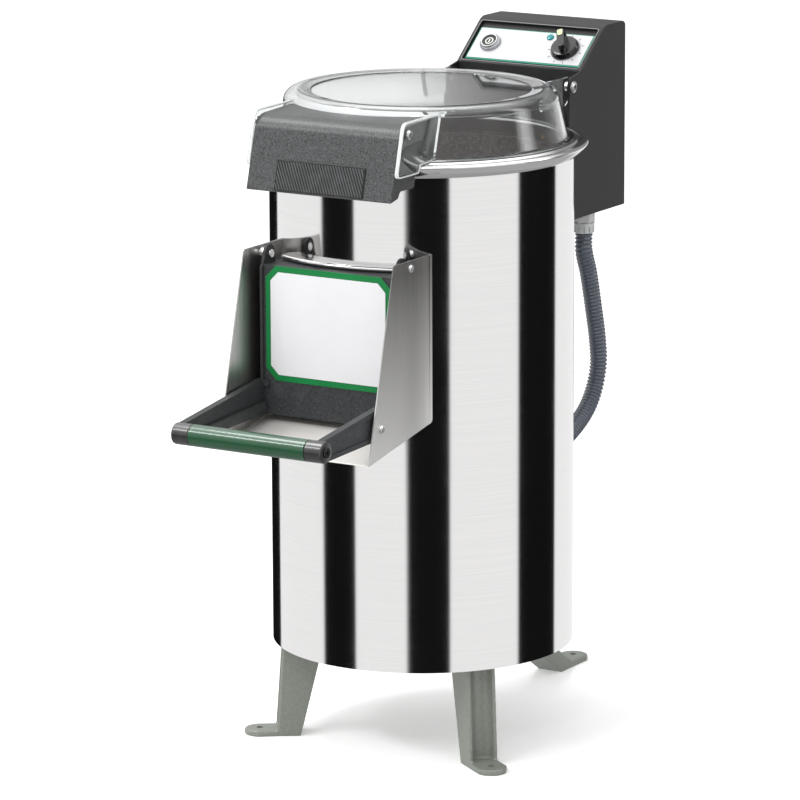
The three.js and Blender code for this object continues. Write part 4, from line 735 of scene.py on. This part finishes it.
def make_chute():
    for name, side in SIDES:
        plate = side_cut([(-256.6, 553, 1.5), (-319, 305.5, 1.5), (-165.5, 333.6, 10),
                          (-158, 334), (-158, 553)], side, 111.6, 113.1)
        fold = side_cut([(-170, 338), (-167.2, 336), (-160, 336), (-160, 552.9),
                         (-170, 552.9)], side, 113.1, 114.1)
        plate = carved(fused(plate, fold), barrel_space(), cross_hole(4.3, PIVOT_AT, 120),
                       cross_hole(4.3, STOP_AT, 120))
        # The right plate takes the steel with the painted reflection; the left plate takes the
        # plain chute steel.
        finished(f"Chute_Plate_{name}", plate, CHUTE_STEEL if side < 0 else PLATE_STEEL_PAINTED_REFLECTION,
                 [f"Chute_Side_{name}"])

    floor = cut_from([(-319, 307), (-319, 305.5), (-165, 334), (-165, 335.5)],
                     -111.3, 111.3, SIDE)
    hem = cut_from([(-319, 305.5), (-319, 307.2, 0.8), (-310, 308.9, 0.8), (-310, 307.2)],
                   -111.3, 111.3, SIDE)
    finished("Chute_Tray", carved(fused(floor, hem), barrel_space()), FLOOR_STEEL,
             ["Chute_Floor"])

    sheet = turned([(200.3, 535.5), (214, 535.5), (214, 538), (200.3, 538)], 192, ring=True)
    roll = [(214.3 + 3 * math.cos(a), 535 + 3 * math.sin(a))
            for a in (math.tau * i / 20 for i in range(20))]
    lip = fused(sheet, turned(roll, 192, ring=True))
    lip = worked(lip, "INTERSECT", slab(-94, 94, -240, -150, 524, 544))
    finished("Outlet_Lip", lip, RIM_STEEL, ["Chute_Top_Lip"], sharp=50)


def side_bolt(name, node, profile, side, spot, hexagon, body="machine", look=FASTENER_STEEL):
    """A bolt along X, its profile and its (radius, low, high) socket measured from the middle."""
    bolt = carved(turned(profile, 48), rod(*hexagon, 6))
    turn = Matrix.Rotation(side * math.pi / 2, 4, "Y")
    finished(name, shifted(bolt, 0, *spot, turn), look, [node], body, sharp=38)


def make_chute_bolts():
    head = [(7, 111.3), (4, 111.3), (4, 113.4), (5.5, 113.4), (5.4, 114.6), (4.6, 115.8),
            (3, 116.4), (0, 116.4)]
    socket = (2, 114.9, 120)
    for name, side in SIDES:
        side_bolt(f"Pivot_Bolt_{name}", f"Door_Pivot_{name}",
                  [(0, 94.6), (5.2, 94.6), (5.5, 95), (5.5, 97.6), (4, 97.6), (4, 102),
                   (6.6, 102), (7, 102.4), (7, 110.9), (6.6, 111.3), *head[1:]],
                  side, PIVOT_AT, socket)
        side_bolt(f"Stop_Button_{name}", f"Chute_Stop_{name}",
                  [(0, 108.6), (6.4, 108.6), (7, 109.2), *head], side, STOP_AT, socket)


# ---------------------------------------------------------------- discharge door

def make_door():
    """Plate, side cheeks with ears, and two arms that carry the handle's round ends."""
    parts = [slab(-98.3, 98.3, -232, -227, 335, 531), slab(-98.3, 98.3, -232, -141, 335, 343),
             slab(-98.3, 98.3, -232, -141, 523, 531)]
    for _, side in SIDES:
        cheek = (side, 98, 101.6)
        parts += [
            side_cut([(-236, 531, 5), (-236, 335), (-141, 335), (-141, 531)], *cheek),
            shifted(rod(12, *sorted((side * 98, side * 101.6)), 64), 0, *PIVOT_AT, ALONG_X),
            side_cut([(-228.5, 543), (-236, 523), (-204.5, 523), (-204.5, 543)], *cheek),
            side_cut([(-417.2, 357.4), (-417.2, 329.4), (-232, 335), (-232, 381)],
                     side, 98, 108),
            side_cut([(-405, 343), (-405, 331), (-234, 336.5), (-234, 352)],
                     side, 93.5, 99),
            side_cut([(-236, 372), (-236, 380), (-232, 380.4), (-232, 372)],
                     side, 90, 99)]
    door = fused(*parts)
    for _, side in SIDES:
        door = carved(door, side_cut([(-396, 352.5, 2), (-396, 336, 2), (-241, 341, 2),
                                      (-241, 373, 2)], side, 106.6, 112))
    door = carved(door, rod(204, 0, 660, 192), cross_hole(4.4, PIVOT_AT, 120),
                  cross_hole(4.3, HANDLE_AT, 120))
    moulding = finished("Door_Moulding", door, DOOR_PLASTIC, ["Door_Frame"], "door",
                        even=False)
    edge = moulding.modifiers.new("Moulded_Edges", "BEVEL")
    edge.width = 0.0009
    edge.segments = 2
    edge.limit_method = "ANGLE"
    edge.angle_limit = math.radians(40)
    edge.use_clamp_overlap = True
    step = moulding.modifiers.new("Even_Shading", "WEIGHTED_NORMAL")
    step.keep_sharp = False

    border = cut_from([(-94.5, 396), (-79, 380.5), (79, 380.5), (94.5, 396), (94.5, 515.5),
                       (79, 531), (-79, 531), (-94.5, 515.5)], -233, -232.3, FRONT)
    finished("Door_Border_Film", softened(border, 0.15, 1), GREEN_INK,
             ["Door_Label_Border"], "door")
    field = cut_from([(-86.5, 400), (-75, 388.5), (75, 388.5), (86.5, 400), (86.5, 511.5),
                      (75, 523), (-75, 523), (-86.5, 511.5)], -234, -233.3, FRONT)
    finished("Door_White_Film", softened(field, 0.15, 1), WHITE_FILM, ["Door_Label"], "door")


def make_bar():
    tube = turned([(12, -86), (13.6, -86), (14, -85.6), (14, 85.6), (13.6, 86), (12, 86)], 96,
                  ring=True)
    finished("Handle_Bar", shifted(tube, 0, *HANDLE_AT, ALONG_X), TUBE_GREEN,
             ["Handle_Tube"], "door")
    for name, side in SIDES:
        end = turned([(4.3, 86.3), (13, 86.3), (14, 87.3), (14, 109.6), (13.5, 110.9),
                      (12.2, 111.5), (4.3, 111.5)], 96, ring=True)
        turn = Matrix.Rotation(side * math.pi / 2, 4, "Y")
        finished(f"Bar_End_{name}", shifted(end, 0, *HANDLE_AT, turn), END_BLACK, body="door")
        side_bolt(f"Bar_Screw_{name}", f"Handle_Screw_{name}",
                  [(0, 89.8), (4, 89.8), (4, 111.8), (6.8, 111.8), (7, 112.2), (7, 113.2),
                   (6.4, 113.8), (0, 113.8)], side, HANDLE_AT, (2.6, 112.2, 120), "door",
                  GLOSS_BLACK)


# ---------------------------------------------------------------- lid and its handle

def quarter(radius, drop, top, order):
    """The lid's rounded shoulder, as points from its crest outwards or back."""
    turns = (math.pi / 2 * i / 10 for i in order)
    return [(161.5 + radius * math.sin(a), top - drop * (1 - math.cos(a))) for a in turns]


def lid_shell():
    top = 738.2
    return turned([
        (0, top - 3.8), (143.6, top - 3.8), (144.3, top - 3.5), (144.8, top - 2.8),
        (145.4, top - 2.4), (147, top - 2.1), (158, top - 0.5),
        *quarter(19, 15, top, range(11)), (191.2, 675.6), (192.2, 674.8), (198.6, 674.6),
        (199.5, 673.8), (199.5, 672.4), (199, 671.8), (188.2, 671.8), (187.4, 673),
        (176.8, 721.6), *quarter(15, 11, top - 4, range(10, -1, -1)), (145.5, top - 6.3),
        (144, top - 7.8), (0, top - 7.8)], 192)


def make_lid():
    ears, edges = [], []
    for _, side in SIDES:
        outline = [(-120, 731.5), (-230, 730.5, 8), (-248, 661.5, 8), (-194, 661.5, 2),
                   (-191, 671.2, 2), (-120, 675.5)]
        inside = [(-100, 729.4), (-228.4, 728.4, 6.5), (-245.4, 663.7, 6.5),
                  (-195.7, 663.7, 2), (-192.7, 673.4, 2), (-100, 677.6)]
        ears.append(side_cut([(-120, 729.3), (-228.3, 728.3, 6.5), (-245.3, 663.8, 6.5),
                              (-195.8, 663.8, 2), (-192.8, 673.5, 2), (-120, 677.5)],
                             side, 108.7, 112.9))
        edge = carved(side_cut(outline, side, 108.3, 113.3),
                      side_cut(inside, side, 106.3, 115.3))
        edges.append(softened(edge, 0.8, 3, 50))
        rear = side_cut([(110, 728), (110, 690), (217.6, 690), (230.6, 701), (243.6, 707, 6),
                         (243.6, 721, 6), (230.6, 728, 4)], side, 88.6, 93.6)
        ears.append(softened(rear, 1, 2, 40))
    middle = [(0, 733), (146, 733.4), (162, 736), (172, 733), (178.5, 722.5), (189.4, 676),
              (189.4, 660), (0, 660)]
    ears = [carved(ear, turned(middle, 96)) for ear in ears]
    for (name, _), edge in zip(SIDES, edges):
        around = turned([(0, 738.6), (161.5, 738.6), (172, 736.4), (180.6, 723),
                         (191.6, 675.3), (191.6, 655), (0, 655)], 192)
        # The ear edges take the whiter plastic as a painted highlight.
        finished(f"Lid_Ear_Edge_{name}", carved(edge, around), EDGE_CLEAR_PAINTED_HIGHLIGHT, body="lid",
                 sharp=50)
    lid = carved(fused(lid_shell(), *ears), cross_hole(3.3, EAR_SCREW_AT),
                 cross_hole(4.4, HINGE_AT))
    finished("Clear_Lid", lid, LID_PLASTIC, ["Lid"], "lid", sharp=40)


def make_lid_handle():
    side_view = [(-130, 728), (-230.2, 724.5, 17), (-255.7, 631.4, 1.5), (-237, 635.3, 1.5),
                 (-232, 643.5, 3), (-198, 643.5, 3), (-195, 662, 2), (-130, 662)]
    block = softened(cut_from(side_view, -108, 108, SIDE), 1.2, 3, 50)
    hollow = cut_from([(-130, 724.5), (-226.7, 721, 12), (-252.2, 627.9), (-130, 627.9)],
                      -104.5, 104.5, SIDE)
    over_lid = turned([(0, 738.5), (161.5, 738.5), (172, 736.2), (178.8, 730), (180.8, 722.8),
                       (191.8, 675.1), (199.8, 675.1), (199.8, 671.5), (0, 671.5)], 192)
    over_rim = rod(218.7, 625, 672.1, 192)
    block = carved(block, hollow, over_lid, over_rim, cross_hole(3.3, EAR_SCREW_AT))
    finished("Lid_Handle_Moulding", block, HANDLE_PLASTIC, ["Lid_Handle"], "lid")

    for name, side in SIDES:
        side_bolt(f"Ear_Screw_{name}", f"Lid_Handle_Screw_{name}",
                  [(0, 104.6), (3, 104.6), (3, 113.6), (6, 113.6), (6, 115.2), (5.2, 116.2),
                   (3.6, 116.6), (0, 116.6)], side, EAR_SCREW_AT, (3.3, 111.5, 120), "lid")


def make_grip_pad():
    """A thin framed pad on the handle's slope, its face filled with fine slanted ribs."""
    lean = math.atan2(255.7 - 230.2, 724.5 - 631.4)
    height = (671.4 - 634) / math.cos(lean)
    low = Vector((0, -255.7 + (634 - 631.4) * math.tan(lean), 634))
    place = (BARREL @ Matrix.Translation(low) @ Matrix.Rotation(-lean, 4, "X")
             @ Matrix.Rotation(math.pi / 2, 4, "X"))
    base = softened(cut_from([(-66, 0), (66, 0), (66, height), (-66, height)], 0.3, 0.9),
                    0.2, 1)
    pitch, slant = 4.2, math.radians(26)
    ribs = []
    for i in range(-6, 41):
        rib = softened(slab(-1.15, 1.15, -34, 34, 0.5, 2.1), 0.7, 3)
        ribs.append(shifted(rib, -66 + pitch * i, height / 2, 0,
                            Matrix.Rotation(slant, 4, "Z")))
    face = gathered(*ribs)
    for spot, normal in (((-64.6, 0, 0), (-1, 0, 0)), ((64.6, 0, 0), (1, 0, 0)),
                         ((0, 1.2, 0), (0, -1, 0)), ((0, height - 1.2, 0), (0, 1, 0))):
        cut = bmesh.ops.bisect_plane(
            face, geom=face.verts[:] + face.edges[:] + face.faces[:], dist=1e-5,
            plane_co=spot, plane_no=normal, clear_outer=True)
        edges = [e for e in cut["geom_cut"] if isinstance(e, bmesh.types.BMEdge)]
        bmesh.ops.holes_fill(face, edges=edges, sides=0)
    rails = [softened(slab(*rail, 0.5, 1.5), 0.25, 2) for rail in (
        (-66, 66, 0, 0.9), (-66, 66, height - 0.9, height), (-66, -65.1, 0.9, height - 0.9),
        (65.1, 66, 0.9, height - 0.9))]
    finished("Ribbed_Grip_Pad", gathered(base, *rails), PAD_RUBBER, ["Lid_Handle_Grip_Pad"],
             "lid", place)
    # The ribs take the lighter rubber, as painted light on their faces.
    finished("Grip_Pad_Ribs", face, RIB_RUBBER_PAINTED_LIGHT, body="lid", place=place)


# ---------------------------------------------------------------- control box

def control_holes():
    return [shifted(rod(radius, -14, 14, 48), *spot)
            for radius, spot in ((11.3, BUTTON_AT), (4.3, LAMP_AT), (6, TIMER_AT))]


def make_box():
    to_panel = BARREL.inverted() @ PANEL
    shell = cut_from([(254, 533), (377, 533), (377, 786, 7), (320, 786, 7), (254, 733)],
                     -97, 97, SIDE)
    shell = softened(shell, 2, 3, 25)
    cheeks = [softened(side_cut([(221, 533), (258, 533), (258, 733.4), (254.6, 732.2),
                                 (221, 726, 7)], side, 94, 97), 0.7, 2, 50)
              for _, side in SIDES]
    room = cut_from([(257, 536), (390, 536), (390, 783), (326, 783), (257, 727.6)],
                    -94, 94, SIDE)
    recess = softened(cut_from(box_outline(91, -82, -9, 3), -4, 8), 0.8, 2, 50,
                      keep=lambda e: max(v.co.z for v in e.verts) < 0)
    tools = [recess, *control_holes()]
    for tool in tools:
        bmesh.ops.transform(tool, matrix=to_panel, verts=tool.verts)
    box = carved(fused(shell, *cheeks), room, *tools, cross_hole(4.3, HINGE_AT, 110),
                 shifted(rod(9.3, 525, 545), HOSE_X, 297))
    finished("Control_Case", box, BOX_PAINT, ["Control_Box_Housing"])

    lip = carved(cut_from(box_outline(92.4, -83.2, -7.6, 4), 0.05, 1),
                 cut_from(box_outline(90.8, -81.8, -9.2, 3), -1, 3))
    # The bead is grey as a painted highlight round the recess.
    finished("Recess_Bead", softened(lip, 0.4, 2, 50), BEAD_PAINTED_HIGHLIGHT, place=PANEL)

    cover = softened(slab(-93.7, 93.7, 374, 377, 536.3, 782.7), 0.8, 2)
    finished("Rear_Cover_Plate", cover, BOX_PAINT, ["Control_Box_Rear_Cover"])
    for n, (x, z) in enumerate(((-86, 545), (86, 545), (-86, 774), (86, 774))):
        head = turned([(0, 0.1), (4.4, 0.1), (4.2, 1.2), (3, 2.2), (0, 2.5)], 32)
        head = carved(head, slab(-0.6, 0.6, -3, 3, 1.2, 4), slab(-3, 3, -0.6, 0.6, 1.2, 4))
        finished(f"Cover_Screw_{n + 1}", shifted(head, x, 377, z, ALONG_Y), FASTENER_STEEL)


def make_hinge_bolts():
    for name, side in SIDES:
        side_bolt(f"Hinge_Bolt_{name}", f"Lid_Hinge_Bolt_{name}",
                  [(0, 84.7), (7, 84.7), (7, 88.2), (4, 88.2), (4, 97.3), (7.6, 97.3),
                   (8, 97.7), (8, 98.6), (7.4, 99), (5.4, 99.2), (5.2, 100), (4.4, 100.8),
                   (0, 100.8)], side, HINGE_AT, (3.4, 96, 110))


def make_panel():
    border = cut_from(box_outline(88.5, -76.5, -18.5, 2), -3.7, -3.0)
    finished("Panel_Border_Film", carved(border, *control_holes()), TEAL_INK,
             ["Panel_Label_Border"], place=PANEL)
    field = cut_from(box_outline(86.8, -74.8, -20.2, 1), -2.7, -2.0)
    finished("Panel_White_Film", carved(field, *control_holes()), WHITE_FILM,
             ["Panel_Label"], place=PANEL)

    ticks = []
    for i in range(10):
        tick = slab(-0.55, 0.55, -1.6, 1.6, -1.98, -1.9)
        turn = Matrix.Rotation(-math.radians(1 + 33 * i), 4, "Z")
        ticks.append(shifted(tick, *TIMER_AT, 0, turn @ Matrix.Translation((0, 24.3, 0))))
    finished("Dial_Ticks", gathered(*ticks), TICK_INK, place=PANEL)


CONTROL_BASE = -1.7


def make_button():
    base, top = CONTROL_BASE, CONTROL_BASE + 6
    bezel = turned([(9.8, -16.7), (11, -16.7), (11, base), (14, base), (14.5, base + 0.5),
                    (14.5, base + 3), (14, base + 4), (12.8, base + 4.6), (12.4, base + 6.4),
                    (11.8, base + 7), (10.3, base + 7), (9.8, base + 6.5)], 72, ring=True)
    finished("Button_Bezel", shifted(bezel, *BUTTON_AT), MACHINED_ALUMINIUM,
             ["Start_Button_Bezel"], place=PANEL, sharp=40)
    cap = turned([(0, top - 17), (4, top - 17), (4, top - 7), (9.4, top - 7),
                  (9.4, top - 0.6), (8.9, top), (7.4, top), (7, top - 0.5), (0, top - 0.7)],
                 72)
    finished("Button_Cap", shifted(cap, *BUTTON_AT), GLOSS_BLACK, ["Start_Button_Cap"],
             "start_button", PANEL)
    low, high = top - 0.75, top - 0.45
    ring = turned([(4.4, low), (5.9, low), (5.9, high), (4.4, high)], 48, ring=True)
    bar = slab(-0.9, 0.9, -2.7, 2.7, low, high)
    finished("Button_Mark", shifted(gathered(ring, bar), *BUTTON_AT), MARK_CREAM,
             body="start_button", place=PANEL)


def make_lamp():
    base = CONTROL_BASE
    lamp = turned([(0, base - 12), (4, base - 12), (4, base), (5, base), (5, base + 1),
                   (4.6, base + 1.8), (3.2, base + 2.3), (0, base + 2.5)], 48)
    finished("Pilot_Lamp_Lens", shifted(lamp, *LAMP_AT), LAMP_TEAL, ["Pilot_Lamp"],
             place=PANEL)


def make_knob():
    """Skirt, raised grip bar and the pale index let into its upper end."""
    low = -1.3
    skirt = turned([(0, low), (20, low), (20.3, low + 0.4), (20.3, low + 2.6),
                    (19.6, low + 4), (18, low + 7.4), (17.2, low + 8), (15, low + 8.3),
                    (0, low + 8.4)], 96)
    bar = cut_from([(-6, -17, 5.4), (6, -17, 5.4), (6, 17, 2.6), (-6, 17, 2.6)],
                   low + 4, low + 23)
    for vert in bar.verts:
        if vert.co.z > low + 20:
            vert.co.x *= 0.88
            vert.co.y *= 0.97
    bar = softened(bar, 1.2, 3, 50, keep=lambda e: min(v.co.z for v in e.verts) > low + 20)
    turn = Matrix.Rotation(math.radians(25), 4, "Z")
    knob = carved(fused(skirt, shifted(bar, turn=turn)), rod(3.4, low - 4, 10.7))
    finished("Timer_Grip_Knob", shifted(knob, *TIMER_AT), GLOSS_BLACK, ["Timer_Knob"],
             "timer_knob", PANEL)
    index = cut_from([(-3.4, 4.5, 2.6), (3.4, 4.5, 2.6), (4, 15.5, 2), (-4, 15.5, 2)],
                     low + 23.1, low + 24)
    index = shifted(softened(index, 0.25, 2), *TIMER_AT, 0, turn)
    finished("Knob_Index_Inlay", index, INDEX_LIME, ["Timer_Knob_Index"], "timer_knob", PANEL)


# ---------------------------------------------------------------- bracket, glands and pipes

def foot_curve(radius, start, end, steps=6):
    """Points round the barrel at one radius, from one place across to another."""
    first, last = math.asin(start / radius), math.asin(end / radius)
    turns = [first + (last - first) * i / steps for i in range(steps + 1)]
    return [(radius * math.sin(turn), radius * math.cos(turn)) for turn in turns]


def make_bracket():
    """One folded plate in plan: curved feet on the barrel and a flat web against the box."""
    bracket = cut_from([
        *foot_curve(200.3, 48, 74), *foot_curve(204.3, 74, 52), (52, 253.7, 2.5),
        (-52, 253.7, 2.5), *foot_curve(204.3, -52, -74), *foot_curve(200.3, -74, -48),
        (-48, 249.7), (48, 249.7)], 548, 640)
    finished("Hat_Bracket", bracket, CHUTE_STEEL, ["Box_Mount_Bracket"])
    for n, (side, z) in enumerate(((-1, 570), (-1, 618), (1, 570), (1, 618))):
        turn = math.asin(63 / 204.3) * side
        head = turned([(0, 204.4), (5, 204.4), (5, 206), (4, 207.4), (0, 207.6)], 32)
        place = Matrix.Rotation(-turn, 4, "Z") @ ALONG_Y
        finished(f"Bracket_Bolt_{n + 1}", shifted(head, 0, 0, z, place), FASTENER_STEEL)


def wall_depth(across):
    """How far back the barrel's wall is at a place across."""
    return math.sqrt(200 ** 2 - across ** 2)


def make_glands():
    top, low = 532.7, 504.7
    body = turned([(8, low), (12.8, low), (14.2, low + 1.4), (14.2, low + 14), (8, low + 14)],
                  64, ring=True)
    nut = softened(rod(14.8, low + 14, top, 6), 0.9, 2, 40)
    nut = carved(nut, rod(8, low, top + 10))
    collar = turned([(8, top), (9, top), (9, 542), (8, 542)], 48, ring=True)
    slots = [shifted(slab(-0.8, 0.8, 12.6, 16, low - 1, low + 9),
                     turn=Matrix.Rotation(math.tau * i / 12, 4, "Z")) for i in range(12)]
    upper = gathered(carved(body, *slots), nut, collar)
    finished("Upper_Gland", shifted(upper, HOSE_X, 297), GLAND_GREY, ["Conduit_Gland_Upper"])

    wall = wall_depth(HOSE_X)
    across, up = HOSE_END_AT
    shell = turned([(8, 150), (14.2, 150), (14.2, 215.6), (12.8, 217), (8, 217)], 64,
                   ring=True)
    neck = turned([(7.6, wall - 18), (9, wall - 18), (9, 212), (7.6, 212)], 48, ring=True)
    shell = carved(shifted(shell, across, 0, up, ALONG_Y), barrel_space())
    finished("Lower_Gland", fused(shell, shifted(neck, across, 0, up, ALONG_Y)), GLAND_GREY,
             ["Conduit_Gland_Lower"])


def make_pipes():
    back = wall_depth(75) + 42
    spine = [(0, 309.7), (0, 140), (6, 118), (22, 102.5), (44, 100), (back - 115, 100)]
    bm = bmesh.new()
    rings = []
    for radius, order in ((22, spine), (19.5, spine[::-1])):
        for i, (y, z) in enumerate(order):
            before, after = order[max(i - 1, 0)], order[min(i + 1, len(order) - 1)]
            along = Vector((0, after[0] - before[0], after[1] - before[1])).normalized()
            rings.append(ring_at(bm, (-75, 115 + y, z), along, radius, 48))
    finished("Drain_Elbow", sleeve(bm, rings), RIM_STEEL, ["Drain_Pipe"], sharp=45)

    across, up = INLET_AT
    wall = wall_depth(across)
    tip = wall + 46
    nipple = turned([
        (5, wall - 12), (8, wall - 12), (8, tip - 24), (9.6, tip - 24), (8, tip - 16),
        (9.8, tip - 16), (8, tip - 8), (10, tip - 8), (8, tip), (5, tip)], 48, ring=True)
    nut = softened(rod(14, wall - 14, wall + 14, 6), 1, 2, 40)
    nut = carved(shifted(nut, across, 0, up, ALONG_Y), barrel_space(),
                 outward_hole(7.9, INLET_AT, 48, 300))
    inlet = fused(nut, shifted(nipple, across, 0, up, ALONG_Y))
    finished("Water_Inlet_Barb", inlet, BRASS, ["Water_Inlet"])


aim_camera()
make_conduit()
make_barrel()
make_rim()
make_chamber()
make_leg("Leg_Front_Left", math.radians(-54.9), 219, 32)
make_leg("Leg_Front_Right", math.radians(54.9), 219, 32)
make_leg("Leg_Rear", math.pi, 410.7, 44)
make_chute()
make_chute_bolts()
make_door()
make_bar()
make_lid()
make_lid_handle()
make_grip_pad()
make_box()
make_hinge_bolts()
make_panel()
make_button()
make_lamp()
make_knob()
make_bracket()
make_glands()
make_pipes()

# The hidden pieces keep their solids and take their finishes
KEPT = {
    LEG_PAINT: ("Base_Plate", "Motor_Plate"),
    MACHINED_ALUMINIUM: ("Bearing_Housing", "Disc_Pulley", "Motor_Pulley"),
    FASTENER_STEEL: ("Disc_Shaft", "Motor_Shaft"),
    MOTOR_PAINT: ("Motor",),
    SEAL_RUBBER: ("Shaft_Seal", "Drive_Belt", "Door_Seal"),
    GLOSS_BLACK: ("Button_Contact_Block", "Timer_Body", "Lid_Switch"),
}
for material, names in KEPT.items():
    for name in names:
        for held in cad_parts[name].material_slots:
            held.material = material


# ---------------------------------------------------------------- floor, room and lights

def make_floor():
    bm = bmesh.new()
    bmesh.ops.create_grid(bm, x_segments=4, y_segments=4, size=30)
    floor = as_object(bm, "Studio_Floor")
    floor.data.materials.append(ink(
        "Pale_Floor", None, (252, 252, 252), (250, 250, 250), 0.8, (0, 0),
        Emission_Color=(1, 1, 1, 1), Emission_Strength=0.3))
    floor.visible_glossy = False


def grey(level):
    return (level, level, level, 1)


def make_room():
    """A pale room that shows upright dark flags and bright screens in polished metal."""
    world = bpy.data.worlds.new("Studio")
    bpy.context.scene.world = world
    world.use_nodes = True
    world.node_tree.nodes.clear()
    w = Wiring(world.node_tree)
    ray = w.add("ShaderNodeTexCoord").outputs["Generated"]

    def along(direction):
        return w.vector("DOT_PRODUCT", ray, direction)["Value"]

    turn = w.calc("ARCTAN2", along(VIEW_RIGHT), along(VIEW_BACK))
    place = w.calc("MULTIPLY_ADD", turn, 1 / math.tau, 0.5)

    def ramp(stops):
        """Levels of light round the room, each at its angle in degrees from the view."""
        made = w.add("ShaderNodeValToRGB", Fac=place)
        spots = made.color_ramp.elements
        while len(spots) > 1:
            spots.remove(spots[-1])
        for i, (degrees, level) in enumerate(stops):
            at = degrees / 360 + 0.5
            spot = spots[0] if i == 0 else spots.new(at)
            spot.position = at
            spot.color = grey(level)
        return made.outputs["Color"]

    dark, bright, soft_edge = 0.006, 0.98, 0.6
    stops = [(-180, dark), (-142, dark), (-141, bright)]
    for first, last in ((-81.4, -52.8), (-11.6, 20.2), (77.5, 120.6)):
        stops += [(first - soft_edge, bright), (first + soft_edge, dark),
                  (last - soft_edge, dark), (last + soft_edge, bright)]
    screens = ramp(stops + [(179, bright), (180, dark)])
    overhead = ramp([
        (-180, 0.85), (-120, 0.95), (-60, 0.8), (0, 0.9), (60, 0.8), (82, 0.5), (90, 3.6),
        (94, 3.6), (104, 0.4), (110, 0.4), (150, 0.3), (179.4, 0.24), (179.8, 0.85)])
    height = along((0, 0, 1))
    mixed = w.blend(w.spread(height, -0.08, 0.07), screens, overhead)
    mixed = w.blend(w.spread(height, 0.5, 0.8), mixed, grey(1.9))
    mixed = w.blend(w.spread(height, -0.46, -0.34, 1.0, 0.0), mixed, grey(0.42))
    path = w.add("ShaderNodeLightPath").outputs
    soft = w.spread(along((-0.62, -0.5, 0.6)), -0.7, 0.9, 0.14)
    seen = w.blend(path["Is Diffuse Ray"], mixed, soft)
    seen = w.blend(path["Is Camera Ray"], seen, grey(1.0))
    light = w.add("ShaderNodeBackground", Color=seen, Strength=1.0)
    w.add("ShaderNodeOutputWorld", Surface=light.outputs[0])


def make_light(name, place, target, size, power, mirrored=False):
    """A soft lamp that only shows in glossy faces where it is mirrored."""
    lamp = bpy.data.lights.new(name, "AREA")
    lamp.shape = "RECTANGLE"
    lamp.size, lamp.size_y = size
    lamp.energy = power
    made = bpy.data.objects.new(name, lamp)
    bpy.context.scene.collection.objects.link(made)
    made.location = place
    made.rotation_mode = "QUATERNION"
    made.rotation_quaternion = (Vector(target) - Vector(place)).to_track_quat("-Z", "Y")
    made.visible_glossy = mirrored
    made.visible_transmission = False


make_floor()
make_room()
make_light("Key_Softbox", (-0.6, -3.4, 3.4), (0, 0, 0.6), (1.6, 1.0), 44)
make_light("Side_Softbox", (3.4, -0.6, 2.4), (0, 0, 0.7), (0.8, 1.6), 5)
make_light("Edge_Strip", (-2.2, -2.8, 3.3), (0, -0.3, 0.6), (1.2, 0.4), 32, True)
make_light("Top_Softbox", (-1.32, -0.5, 3.0), (0, -0.23, 0.85), (1.0, 0.5), 20, True)
make_light("Fill_Lamp", (1.43, -3.1, 3.05), (0, 0, 0.5), (0.4, 0.4), 11, True)
bpy.context.scene.view_settings.view_transform = "Standard"
